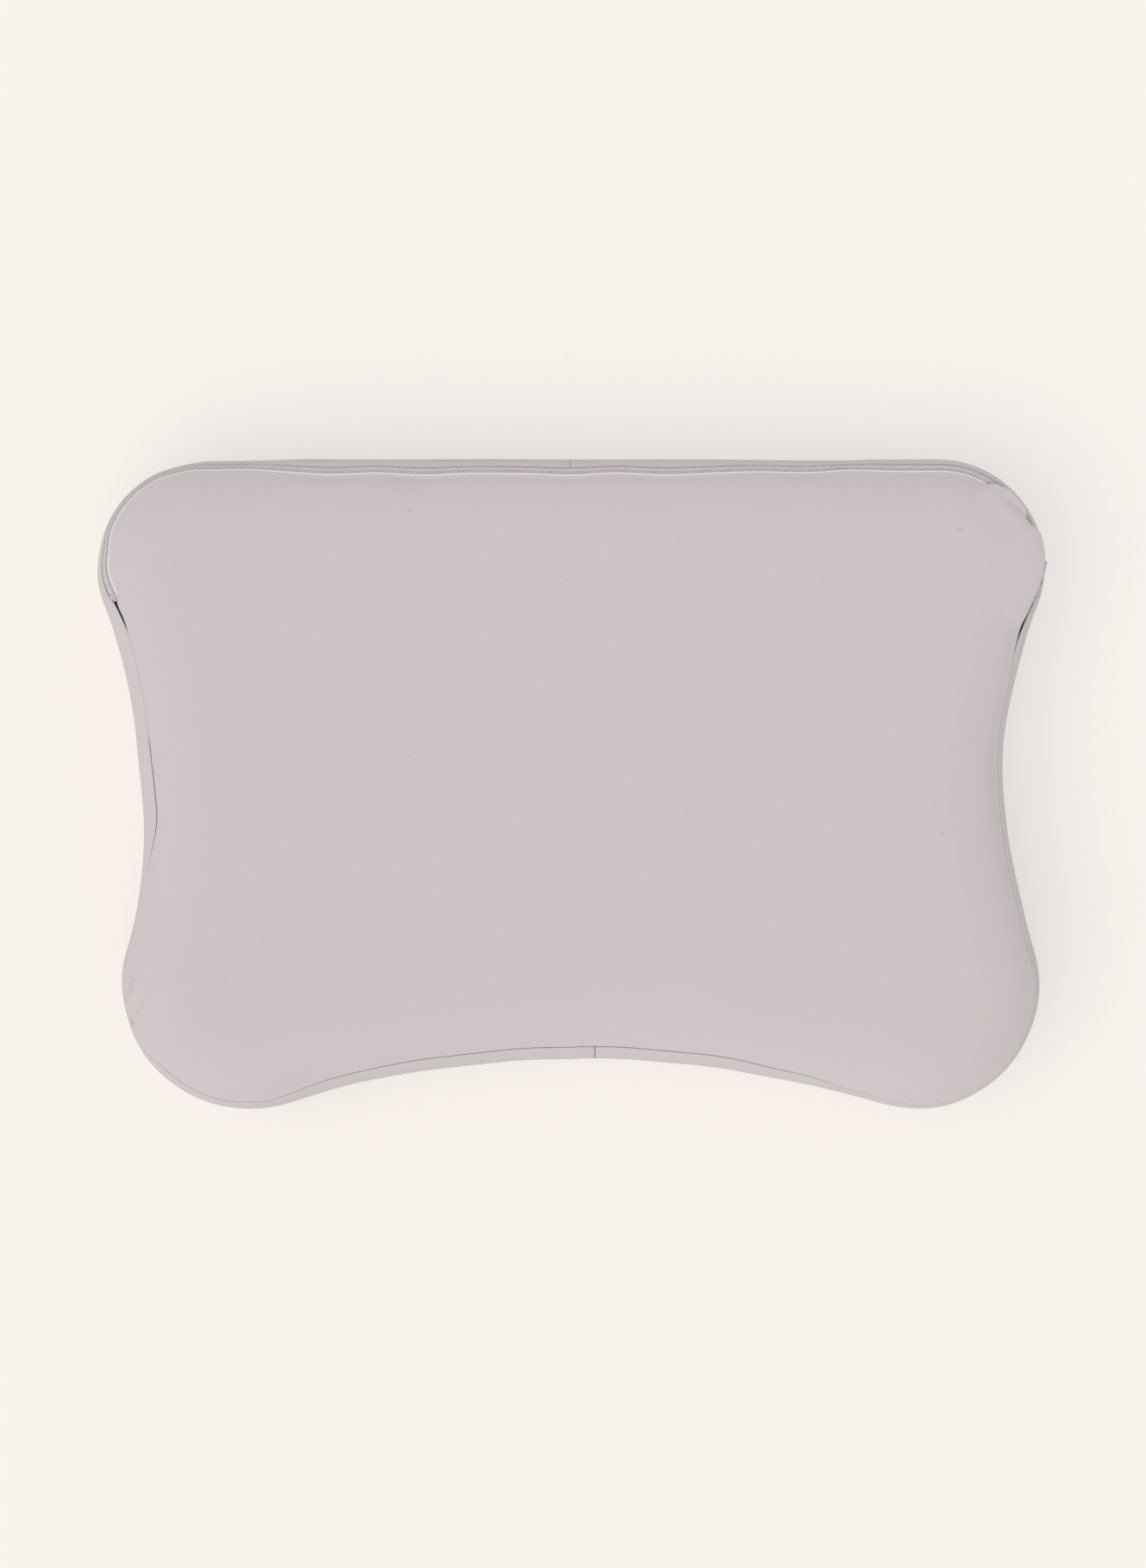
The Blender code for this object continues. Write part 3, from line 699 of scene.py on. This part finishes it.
# %% Crease the front panel
# (start, end, depth, half width), in millimetres
FRONT_CREASES = (
    ((254, 168), (272, 155), 1.1, 3.0),
    ((264, 160), (274, 153), 0.5, 1.4),
    ((-256, -111), (-263, -128), 1.3, 1.2),
    ((-249, -122), (-260, -141), 1.5, 2.2),
    ((-258, -139), (-262, -146), 1.0, 2.6),
    ((-236, 20), (-244, 6), 0.5, 2.0),
    ((-243, -20), (-249, -52), 0.35, 3.0),
    ((268, -58), (272, -84), 0.7, 2.4),
    ((262, -60), (264, -72), 0.45, 1.6),
    ((268, 84), (262, 60), 0.7, 2.2),
    ((262, 74), (259, 50), 0.5, 1.8),
    ((5, -160), (9, -149), 0.35, 1.5),
    ((-175, 186), (-174, 168), 0.18, 2.2),
    ((246, 176), (232, 187), 0.5, 2.2),
)
# A valley's ridge: its share of the depth, and how many half widths away it stands
RIDGE_SHARE = 0.35
RIDGE_AWAY = 2.0


def pinch(made, creases):
    mesh = made.data
    count = len(mesh.vertices)
    spots = np.empty(count * 3, np.float32)
    normals = np.empty(count * 3, np.float32)
    mesh.vertices.foreach_get("co", spots)
    mesh.vertices.foreach_get("normal", normals)
    spots, normals = spots.reshape(-1, 3), normals.reshape(-1, 3)
    sink = np.zeros(count)
    for start, end, depth, half_width in creases:
        first, last = np.array(start) * MM, np.array(end) * MM
        along = last - first
        share = ((spots[:, :2] - first) @ along) / (along @ along)
        nearest = first + np.clip(share, 0, 1)[:, None] * along
        away = np.linalg.norm(spots[:, :2] - nearest, axis=1) / (half_width * MM)
        taper = np.sin(np.pi * np.clip(share * 0.8 + 0.15, 0, 1)) ** 0.7
        ridge = RIDGE_SHARE * np.exp(-((away - RIDGE_AWAY) ** 2))
        sink += depth * MM * taper * (np.exp(-(away**2)) - ridge)
    sink[normals[:, 2] < 0.1] = 0
    mesh.vertices.foreach_set("co", (spots - normals * sink[:, None]).astype(np.float32).reshape(-1))


pinch(front_cloth, FRONT_CREASES)
add_weave_map(front_cloth)
given_thickness(front_cloth, CLOTH_THICKNESS)
print(len(FRONT_CREASES), "creases")

# %% [markdown]
# ## The back panel and the side band
# The back panel is the same ring of cloth, flat where it lies. The band is cut in two lengths, joined
# near the middle of the near edge and of the far edge.

# %% Back panel
shape = cloth_from_rows("back_cloth", whole_turns, back_section, True, lambda share: 0.0)
facing_out(shape, INSIDE)
back_cloth = subdivided(object_from(shape, "back_cloth"))
add_weave_map(back_cloth)
given_thickness(back_cloth, CLOTH_THICKNESS)
print("back cloth has", len(back_cloth.data.polygons), "faces")

# %% [markdown]
# ### The side band
# One strip round the whole cushion would be 1.8 m long. Two lengths waste less cloth, so there are two
# joins. Only the near one shows, as a short upright line.

# %% Side band in two lengths
NEAR_GAP = 0.0008
FAR_GAP = 0.0001
MID_FAR = 4.5
bands = []
for side, start, end in (
    ("right", BAND_JOIN + NEAR_GAP, MID_FAR - FAR_GAP),
    ("left", MID_FAR + FAR_GAP, ROUND + BAND_JOIN - NEAR_GAP),
):
    turns = turns_between(start, end)
    shape = cloth_from_rows(f"side_band_cloth_{side}", turns, band_section, False)
    facing_out(shape, INSIDE)
    band = subdivided(object_from(shape, f"side_band_cloth_{side}"))
    add_weave_map(band, across_band=True)
    bands.append(given_thickness(band, CLOTH_THICKNESS))
    print(band.name, len(band.data.polygons), "faces")
band_right, band_left = bands

# %% [markdown]
# ## Foam and liner
# Inside are the knitted liner, in a top and a bottom half, and the foam block. They follow the same
# outline and wrinkles, each a little deeper, so nothing pokes through.

# %% Foam block and liner
LINER_DEPTH = 0.0028
FOAM_DEPTH = 0.0040
LINER_JOIN_HEIGHT = 0.040
LINER_JOIN_HALF_GAP = 0.0003
INNER_EDGE_RADIUS = 0.022
LINER_UNDERSIDE = 0.0012
LINER_THICKNESS = 0.0006
LINER_ROW_STEP = 0.010
core_turns = turns_between(0, ROUND, 0.0062)[:-1]


def core_side(depth, radius, low, high):
    """Foot or shoulder of an inner layer, between two angles."""
    side = SIDE_BULGE + depth
    level = depth + radius if high <= 0 else SHOULDER.y + EDGE_RADIUS - depth - radius
    found = []
    for step in range(7):
        angle = low + (high - low) * step / 6
        inset = side + radius - radius * math.cos(angle)
        found.append(Vector((inset, level + radius * math.sin(angle))))
    return found


def core_crown(depth, radius):
    start = (SIDE_BULGE + depth + radius, SHOULDER.y + EDGE_RADIUS - depth)
    span = CROWN_END - start[0]
    return [
        Vector((start[0] + span * step / 5, start[1] + CROWN_RISE * math.sin(step / 5 * math.pi / 2)))
        for step in range(1, 6)
    ]


def liner_top_section(_turn):
    radius = INNER_EDGE_RADIUS
    side = Vector((SIDE_BULGE + LINER_DEPTH, LINER_JOIN_HEIGHT + LINER_JOIN_HALF_GAP))
    return [side] + core_side(LINER_DEPTH, radius, 0.0, math.pi / 2) + core_crown(LINER_DEPTH, radius)


def liner_bottom_section(_turn):
    radius = INNER_EDGE_RADIUS
    inset = SIDE_BULGE + LINER_DEPTH + radius
    flat = [Vector((inset + LINER_ROW_STEP * (3 - step), LINER_UNDERSIDE)) for step in range(3)]
    foot = core_side(LINER_UNDERSIDE, radius, -math.pi / 2, 0.0)
    return flat + foot + [Vector((SIDE_BULGE + LINER_DEPTH, LINER_JOIN_HEIGHT - LINER_JOIN_HALF_GAP))]


def foam_section(_turn):
    radius = INNER_EDGE_RADIUS
    foot = core_side(FOAM_DEPTH, radius, -math.pi / 2, 0.0)
    return foot + core_side(FOAM_DEPTH, radius, 0.0, math.pi / 2) + core_crown(FOAM_DEPTH, radius)


def foam_block_shape():
    shape = cloth_from_rows("foam_block", core_turns, foam_section, True)
    open_edges = [edge for edge in shape.edges if edge.is_boundary]
    bmesh.ops.holes_fill(shape, edges=open_edges, sides=0)
    bmesh.ops.recalc_face_normals(shape, faces=shape.faces)
    return shape


foam_block = object_from(foam_block_shape(), "foam_block")
liners = []
for name, section, height in (
    ("liner_top", lambda turn: liner_top_section(turn)[::-1], THICKNESS - LINER_DEPTH),
    ("liner_bottom", liner_bottom_section, LINER_UNDERSIDE),
):
    shape = cloth_from_rows(name, core_turns, section, True, lambda share, height=height: height)
    facing_out(shape, INSIDE)
    liner = object_from(shape, name)
    add_weave_map(liner)
    liners.append(given_thickness(liner, LINER_THICKNESS))
liner_top, liner_bottom = liners
print("foam block", [round(side, 3) for side in foam_block.dimensions])

# %% [markdown]
# ## The zip
# A nylon coil zip is two woven tapes, each with a spiral of stiff wire sewn along its edge. Every turn
# of one spiral hooks between two turns of the other. The spirals are modelled as spirals: a curve
# whose points go round once per tooth, with a round bevel, which is then made a mesh.

# %% Where the chain runs
COIL_PITCH = 0.00115
WIRE_RADIUS = 0.00026
COIL_OUTER = 0.0020
COIL_HEAD = -0.00042
COIL_TOP = -0.00015
COIL_LOW = -0.00135
# (across, lift) of a tape's rows, from beside the chain's middle outwards
TAPE_ROWS = {
    1: (
        (0.00012, -0.00170), (0.0012, -0.00170), (0.0020, -0.00160),
        (0.0024, -0.0005), (0.0034, -0.0005), (0.0041, -0.00165),
    ),
    -1: ((0.00012, -0.00170), (0.0012, -0.00170), (0.0023, -0.00175), (0.0034, -0.0019)),
}
TAPE_THICKNESS = 0.0004
ZIP_STATION = 0.0015
zip_turns = np.array(turns_between(ZIP_START, ZIP_FINISH, ZIP_STATION))


def zip_point(turn, across, lift):
    return cover_point(turn, *across_seam(turn, across, lift))


chain_line = np.array([zip_point(turn, 0, 0) for turn in zip_turns])
chain_reach = np.concatenate([[0], np.cumsum(np.linalg.norm(np.diff(chain_line, axis=0), axis=1))])
LOOPS = int(chain_reach[-1] / COIL_PITCH)
print("chain", round(float(chain_reach[-1]), 4), "m long,", LOOPS, "teeth a side")


def turn_at(distance):
    return float(np.interp(distance, chain_reach, zip_turns))


def tube(name, points, radius, sides=1):
    """A round wire through the points, made a mesh."""
    curve = bpy.data.curves.new(name, "CURVE")
    curve.dimensions = "3D"
    curve.bevel_depth = radius
    curve.bevel_resolution = sides
    curve.use_fill_caps = True
    line = curve.splines.new("POLY")
    line.points.add(len(points) - 1)
    for spot, point in zip(line.points, points):
        spot.co = (*point, 1)
    made = bpy.data.objects.new(name, curve)
    bpy.context.scene.collection.objects.link(made)
    mesh = bpy.data.meshes.new_from_object(made.evaluated_get(bpy.context.evaluated_depsgraph_get()))
    bpy.data.objects.remove(made)
    bpy.data.curves.remove(curve)
    mesh.name = name
    mesh.shade_smooth()
    made = bpy.data.objects.new(name, mesh)
    bpy.context.scene.collection.objects.link(made)
    return made


# %% [markdown]
# ### The coils
# A loop has six corners: out along the top, round the outer edge, back below, and round the head. The
# heads of one side stand between those of the other, so the second coil starts half a tooth later.

# %% The two coils
LOOP_CORNER = 0.0003
middle = (COIL_TOP + COIL_LOW) / 2
LOOP_SECTION = (
    (COIL_OUTER, middle), (COIL_OUTER - LOOP_CORNER, COIL_TOP), (COIL_HEAD + LOOP_CORNER, COIL_TOP),
    (COIL_HEAD, middle), (COIL_HEAD + LOOP_CORNER, COIL_LOW), (COIL_OUTER - LOOP_CORNER, COIL_LOW),
)


def coil(name, side):
    points = []
    for loop in range(LOOPS - 1):
        for step, (across, lift) in enumerate(LOOP_SECTION):
            distance = (loop + step / len(LOOP_SECTION) + (0.5 if side < 0 else 0.0)) * COIL_PITCH
            points.append(zip_point(turn_at(distance), side * across, lift))
    return tube(name, points, WIRE_RADIUS)


coil_panel = coil("coil_panel_side", 1)
coil_band = coil("coil_band_side", -1)
print("each coil has", len(coil_panel.data.polygons), "faces")

# %% [markdown]
# ### Sewing on the coils
# Two lines of thread hold each coil to its tape. They dip between the loops, which gives the fine
# dotted lines along the chain.

# %% Sewing that holds each coil to its tape
STITCH_ROWS = (0.00095, 0.00165)
THREAD_RADIUS = 0.00011
THREAD_SINK = 0.00002
STITCH_DIP = 0.00010


def stitch_line(name, side, across):
    points = []
    for step in range(2 * LOOPS):
        lift = COIL_TOP + WIRE_RADIUS - THREAD_SINK - (STITCH_DIP if step % 2 else 0.0)
        points.append(zip_point(turn_at(step * COIL_PITCH / 2), side * across, lift))
    return tube(name, points, THREAD_RADIUS, 0)


stitches = [
    stitch_line(f"coil_stitch_{'panel' if side > 0 else 'band'}_{row + 1}", side, across)
    for side in (1, -1)
    for row, across in enumerate(STITCH_ROWS)
]
print(len(stitches), "lines of sewing,", 2 * LOOPS, "points each")

# %% [markdown]
# ### The tapes
# Each tape lies flat under its coil. On the panel's side a narrow strip of it rises beside the chain and
# shows as a pale line; after that it goes under the cloth it is sewn to.

# %% The two tapes
TAPE_UNDER_CLOTH = (0.0062, 0.0080, 0.0100)
TAPE_DEPTH = 0.0021
TAPE_START_RUN = 0.012
TAPE_END_RUN = 0.006
TAPE_STATION = 0.0024


def tape_section(side):
    """Rows of a tape from beside the chain's middle out to its far edge under the cloth."""

    def section(turn):
        rows = [across_seam(turn, side * across, lift) for across, lift in TAPE_ROWS[side]]
        for across in TAPE_UNDER_CLOTH:
            rows.append(shoulder_spot(seam_angle(turn) + side * across / EDGE_RADIUS, TAPE_DEPTH))
        return rows

    return section


tapes = []
for name, side in (("tape_panel_side", 1), ("tape_band_side", -1)):
    tape_turns = turns_between(ZIP_START - TAPE_START_RUN, ZIP_FINISH + TAPE_END_RUN, TAPE_STATION)
    shape = cloth_from_rows(name, tape_turns, tape_section(side), False)
    facing_out(shape, INSIDE)
    tape = object_from(shape, name)
    add_weave_map(tape)
    tapes.append(given_thickness(tape, TAPE_THICKNESS))
tape_panel, tape_band = tapes
print("each tape has", len(tape_panel.data.polygons), "faces before its thickness")

# %% [markdown]
# ### Bartacks
# A few passes of thread over both coils end the chain, so that the slider can't run off it.

# %% Bartacks
BARTACK_THREADS = 9
BARTACK_THREAD_RADIUS = 0.00017
BARTACK_LENGTH = 0.0025
BARTACK_ARCH = (
    (-0.0026, -0.0012), (-0.0023, 0.0004), (-0.0010, 0.00055),
    (0.0010, 0.00055), (0.0023, 0.0004), (0.0026, -0.0012),
)


def bartack(name, start, end):
    """Passes of thread over the chain, to and fro, from one distance along it to another."""
    points = []
    for number in range(BARTACK_THREADS):
        distance = start + (end - start) * number / (BARTACK_THREADS - 1)
        arch = BARTACK_ARCH[::-1] if number % 2 else BARTACK_ARCH
        points += [zip_point(turn_at(distance), across, lift) for across, lift in arch]
    return tube(name, points, BARTACK_THREAD_RADIUS)


bartack_right = bartack("bartack_right", 0.0, BARTACK_LENGTH)
chain_end = float(chain_reach[-1])
bartack_left = bartack("bartack_left", chain_end, chain_end - BARTACK_LENGTH)
print("two bartacks of", BARTACK_THREADS, "passes")

# %% [markdown]
# ## Finishes
# A material is a small graph of nodes. To keep the sums readable, `Wire` wraps one socket, and `+`,
# `-` and `*` add the Math nodes. Colours go through Mix nodes, because a Math node would turn them grey.

# %% A wire between nodes
class Wire:
    """A value on its way through a material."""

    def __init__(self, recipe, socket):
        self.recipe = recipe
        self.socket = socket

    def sum(self, operation, other=None, swapped=False):
        pair = [self] if other is None else [other, self] if swapped else [self, other]
        return self.recipe.node("Math", {"operation": operation}, dict(enumerate(pair)))

    def __add__(self, other):
        return self.sum("ADD", other)

    def __rsub__(self, other):
        return self.sum("SUBTRACT", other, swapped=True)

    def __mul__(self, other):
        return self.sum("MULTIPLY", other)

    __radd__ = __add__
    __rmul__ = __mul__

    def sine(self):
        return self.sum("SINE")

    def clamped(self, low, high):
        """0 below low, 1 above high."""
        sockets = {"Value": self, "From Min": low, "From Max": high}
        return self.recipe.node("MapRange", {"clamp": True}, sockets)


print("a wire can", [name for name in vars(Wire) if not name.startswith("__")])

# %% [markdown]
# ### One recipe for each material
# One method adds any node, and the others are short names for the nodes used most.

# %% A recipe
class Recipe:
    """A material and the one method that adds its nodes."""

    def __init__(self, name):
        self.material = bpy.data.materials.new(name)
        self.material.use_nodes = True
        self.tree = self.material.node_tree
        self.shader = self.tree.nodes["Principled BSDF"]

    def node(self, kind, settings=None, sockets=None, out=0):
        made = self.tree.nodes.new("ShaderNode" + kind)
        for name, value in (settings or {}).items():
            setattr(made, name, value)
        self.fill(made, sockets or {})
        return Wire(self, made.outputs[out])

    def fill(self, made, sockets):
        for name, value in sockets.items():
            if isinstance(value, Wire):
                self.tree.links.new(value.socket, made.inputs[name])
            else:
                made.inputs[name].default_value = value

    def noise(self, vector, scale, detail=2.0, roughness=0.5):
        sockets = {"Vector": vector, "Scale": scale, "Detail": detail, "Roughness": roughness}
        return self.node("TexNoise", {}, sockets)

    def mix(self, share, first, second):
        """Between two colours."""
        sockets = {0: share, 6: first, 7: second}
        return self.node("Mix", {"data_type": "RGBA"}, sockets, out=2)

    def stretched(self, vector, scale):
        return self.node("Mapping", {}, {"Vector": vector, "Scale": scale})

    def finish(self, colour, roughness, height=None, strength=0.3, distance=0.0001, **steady):
        sockets = {"Base Color": colour, "Roughness": roughness}
        if height is not None:
            sockets["Normal"] = self.node(
                "Bump", {}, {"Height": height, "Strength": strength, "Distance": distance}
            )
        for name, value in steady.items():
            sockets[name.replace("_", " ").title()] = value
        self.fill(self.shader, sockets)
        return self.material


def woven(recipe, place, pitch):
    """A plain weave: threads over and under, as a height from 0 to 1."""
    parts = recipe.node("SeparateXYZ", {}, {0: place})
    across = Wire(recipe, parts.socket.node.outputs[1])
    turn_rate = math.pi / pitch
    return (parts * turn_rate).sine() * (across * turn_rate).sine() * 0.5 + 0.5


print("a recipe can", [name for name in vars(Recipe) if not name.startswith("__")])

# %% [markdown]
# ### Cover cloth
# The cover is a plain weave with uneven threads, seen as slightly thicker lines both ways. Low on the
# crown and down the sides, the cloth is mixed towards a greyer tone. This is a painted sheen, standing in
# for the grey that steep cloth shows in the light.

# %% Cover cloth
def colour(red, green, blue):
    return (red, green, blue, 1.0)


COVER_TONE = colour(0.604, 0.546, 0.547)
COVER_WARM_TONE = colour(0.620, 0.546, 0.563)
COVER_THREAD_TONE = colour(0.54, 0.485, 0.495)
COVER_SPECK_TONE = colour(0.50, 0.44, 0.45)
# Painted sheen: a greyer tone mixed in below the crown, standing in for how the steep cloth at the sides
# catches the light; the line after it gives the heights it fades in over
COVER_PAINTED_SHEEN_TONE = colour(0.585, 0.555, 0.545)
PAINTED_SHEEN_FADE = (0.083, 0.097)
COVER_THREAD = 0.00042


def make_cover_cloth():
    recipe = Recipe("cover_cloth")
    place = recipe.node("UVMap", {"uv_map": "weave"})
    spot = recipe.node("TexCoord", out=3)
    weave = woven(recipe, place, COVER_THREAD)
    slub = recipe.noise(recipe.stretched(place, (40, 1500, 1)), 1.0, 3.0)
    thick_end = recipe.noise(recipe.stretched(place, (1300, 30, 1)), 1.0, 3.0)
    mottle = recipe.noise(spot, 9.0, 3.0)
    fuzz = recipe.noise(spot, 2600.0, 2.0)
    thread_tone = (slub * 0.6 + thick_end * 0.4).clamped(0.30, 0.72)
    even = recipe.mix(mottle.clamped(0.36, 0.66), COVER_TONE, COVER_WARM_TONE)
    toned = recipe.mix(thread_tone * 0.16, even, COVER_THREAD_TONE)
    speck = recipe.noise(recipe.stretched(place, (90, 260, 1)), 1.0, 0.0).clamped(0.87, 0.89)
    speckled = recipe.mix(speck * 0.5, toned, COVER_SPECK_TONE)
    # Painted sheen: the lower the cloth lies below the crown, the more of the greyer tone is mixed in
    height_above = recipe.node("SeparateXYZ", {}, {"Vector": spot}, out=2)
    painted_sheen_share = (1 - height_above.clamped(*PAINTED_SHEEN_FADE)) * 0.8
    sheen_painted_colour = recipe.mix(painted_sheen_share, speckled, COVER_PAINTED_SHEEN_TONE)
    height = weave * 0.5 + slub * 0.9 + fuzz * 0.35
    rough = 0.86 + fuzz * 0.08
    return recipe.finish(sheen_painted_colour, rough, height, 0.35, 0.00012, sheen_weight=0.12, sheen_roughness=0.6)


finishes = {"cover_cloth": make_cover_cloth()}
print("the cover's threads are", COVER_THREAD / MM, "mm apart")

# %% [markdown]
# ### Liner and foam
# The knit shows its loops as a coarser weave, with painted shade where the loops dip. Foam is a sponge of
# small cells, with painted shade where they are deep.

# %% Liner and foam
LINER_LOOP = 0.0011


def make_liner_knit():
    recipe = Recipe("liner_knit")
    place = recipe.node("UVMap", {"uv_map": "weave"})
    loops = woven(recipe, place, LINER_LOOP)
    # Painted shade: the knit is darker where its loops dip, following the same pattern as its bump
    tone = recipe.mix(loops.clamped(0.2, 0.9), colour(0.70, 0.69, 0.65), colour(0.86, 0.85, 0.82))
    return recipe.finish(tone, 0.9, loops, 0.5, 0.0003)


def make_foam():
    recipe = Recipe("foam")
    spot = recipe.node("TexCoord", out=3)
    cells = recipe.node("TexVoronoi", {"feature": "F1"}, {"Vector": spot, "Scale": 900.0})
    # Painted shade: each cell is darker towards its deep middle, following the same pattern as the bump
    tone = recipe.mix(cells.clamped(0.1, 0.7), colour(0.72, 0.68, 0.55), colour(0.88, 0.85, 0.74))
    return recipe.finish(tone, 0.95, cells, 0.6, 0.0004)


finishes["liner_knit"] = make_liner_knit()
finishes["foam"] = make_foam()
print("the liner's loops are", LINER_LOOP / MM, "mm apart")

# %% [markdown]
# ### Tape, coil and thread
# All three are dyed to match the cover, a little paler. The coil is the only smooth one, so it alone
# catches a soft light.

# %% Tape, coil and thread
TAPE_THREAD = 0.00036


def make_zip_tape():
    recipe = Recipe("zip_tape")
    spot = recipe.node("TexCoord", out=3)
    place = recipe.node("UVMap", {"uv_map": "weave"})
    weave = woven(recipe, place, TAPE_THREAD)
    fuzz = recipe.noise(spot, 1900.0)
    # Painted shade: the tape is darker where its weave and fuzz dip, following its bump
    tone = recipe.mix(weave * 0.5 + fuzz * 0.3, colour(0.74, 0.69, 0.71), colour(0.84, 0.79, 0.81))
    return recipe.finish(tone, 0.8, weave + fuzz * 0.3, 0.5, 0.0001)


def make_zip_nylon():
    recipe = Recipe("zip_nylon")
    spot = recipe.node("TexCoord", out=3)
    drift = recipe.noise(spot, 60.0)
    tone = recipe.mix(drift, colour(0.80, 0.77, 0.785), colour(0.88, 0.84, 0.86))
    return recipe.finish(tone, 0.42 + drift * 0.1, recipe.noise(spot, 3000.0), 0.15, 0.00005)


def make_thread():
    recipe = Recipe("thread")
    spot = recipe.node("TexCoord", out=3)
    twist = recipe.noise(spot, 4200.0)
    # Painted shade: the thread is darker where its surface dips, following its bump
    tone = recipe.mix(twist, colour(0.54, 0.48, 0.49), colour(0.66, 0.60, 0.61))
    return recipe.finish(tone, 0.7, twist, 0.5, 0.00005)


finishes["zip_tape"] = make_zip_tape()
finishes["zip_nylon"] = make_zip_nylon()
finishes["thread"] = make_thread()
print("the tape's threads are", TAPE_THREAD / MM, "mm apart")

# %% [markdown]
# ### Slider metal
# The slider is a casting with a coat of matching paint, worn in small spots where metal shows.

# %% Slider metal
def make_slider_metal():
    recipe = Recipe("slider_metal")
    spot = recipe.node("TexCoord", out=3)
    grain = recipe.noise(spot, 2500.0, 3.0)
    wear = recipe.noise(spot, 420.0, 4.0).clamped(0.60, 0.74)
    tone = recipe.mix(wear, colour(0.56, 0.52, 0.54), colour(0.70, 0.69, 0.68))
    metallic = wear * 0.7 + 0.1
    recipe.fill(recipe.shader, {"Metallic": metallic})
    return recipe.finish(tone, 0.38 + grain * 0.12, grain, 0.12, 0.00004)


finishes["slider_metal"] = make_slider_metal()
print(len(finishes), "finishes")

# %% [markdown]
# ## Joining the pieces to the frame
# Each piece rides on a body of the frame, and the plain solid it stands for is hidden. The slider and its
# pull keep their solids, because their shapes are already right, and only get the painted finish.

# %% Pieces on their bodies
PIECES = (
    (front_cloth, "cover_cloth", ("cover_front_panel",)),
    (back_cloth, "cover_cloth", ("cover_back_panel",)),
    (band_right, "cover_cloth", ("side_band_right",)),
    (band_left, "cover_cloth", ("side_band_left",)),
    (liner_top, "liner_knit", ("liner_front",)),
    (liner_bottom, "liner_knit", ("liner_back",)),
    (foam_block, "foam", ("foam_core",)),
    (coil_panel, "zip_nylon", ("zip_coil_panel_side",)),
    (coil_band, "zip_nylon", ("zip_coil_band_side",)),
    (tape_panel, "zip_tape", ("zip_tape_panel_side",)),
    (tape_band, "zip_tape", ("zip_tape_band_side",)),
    (bartack_right, "thread", ("zip_bartack_right",)),
    (bartack_left, "thread", ("zip_bartack_left",)),
    *((stitch, "thread", ()) for stitch in stitches),
)
for piece, slot, nodes in PIECES:
    piece.data.materials.clear()
    piece.data.materials.append(finishes[slot])
    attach(piece, "cushion")
    if nodes:
        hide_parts(*nodes)
for node in ("zip_slider", "zip_pull_tab"):
    solid = frame["nodes"][node]
    for place in solid.material_slots:
        place.material = finishes["slider_metal"]
print(len(PIECES), "pieces ride the cushion")

# %% [markdown]
# ### Sheets and padding

print("six sheets of cover and liner, two tapes, one block of foam")

# %% [markdown]
# ## Table, light and camera
# The cushion lies on a pale table under one broad soft light, and the sky fills in the shadows. The
# table glows a little, as a light table does, which keeps its shadow faint.

# %% Table
TABLE_HALF_SIZE = 40
TABLE_DROP = 0.0002
bench = bmesh.new()
bmesh.ops.create_grid(bench, x_segments=1, y_segments=1, size=TABLE_HALF_SIZE)
table = object_from(bench, "table")
table.location = (0, 0, -TABLE_DROP)
TABLE_LIT = colour(0.511, 0.439, 0.376)
TABLE_GLOW = colour(0.436, 0.457, 0.479)
surface = Recipe("table_top")
surface.fill(surface.shader, {
    "Base Color": TABLE_LIT,
    "Roughness": 1.0,
    "Specular IOR Level": 0.0,
    "Emission Color": TABLE_GLOW,
    "Emission Strength": 1.0,
})
table.data.materials.append(surface.material)
print("table", 2 * TABLE_HALF_SIZE, "m wide")

# %% [markdown]
# ### Light
# The white sky gives most of the light and a wide sun the rest. Together they light a level surface
# by exactly one, so each finish shows its own colour.

# %% Light
SKY = 0.60
SUN_SIDE = Vector((-0.30, -0.24, 0.92)).normalized()
SUN_WIDTH = math.radians(60)
scene = bpy.context.scene
world = bpy.data.worlds.new("studio")
scene.world = world
world.use_nodes = True
world.node_tree.nodes["Background"].inputs["Color"].default_value = colour(1, 1, 1)
world.node_tree.nodes["Background"].inputs["Strength"].default_value = SKY
lamp = bpy.data.lights.new("soft_light", "SUN")
lamp.energy = (1 - SKY) * math.pi / SUN_SIDE.z
lamp.angle = SUN_WIDTH
light = bpy.data.objects.new("soft_light", lamp)
light.rotation_euler = SUN_SIDE.to_track_quat("Z", "Y").to_euler()
scene.collection.objects.link(light)
scene.view_settings.view_transform = "Standard"
print("sky", SKY, "and sun", round(lamp.energy, 3))

# %% [markdown]
# ### Camera
# The camera hangs straight above with a long lens, so the far and the near side look alike.

# %% Camera, straight above
CAMERA_HEIGHT = 2.257
CAMERA_SHIFT = 0.0013
lens = bpy.data.cameras.new("camera")
lens.lens = 85
lens.sensor_width = 36
camera = bpy.data.objects.new("camera", lens)
camera.location = (CAMERA_SHIFT, 0.0, CAMERA_HEIGHT)
scene.collection.objects.link(camera)
scene.camera = camera
print("camera", CAMERA_HEIGHT, "m up")

# %% [markdown]
# ## Sizes
# The plain solids' box is printed near the start.
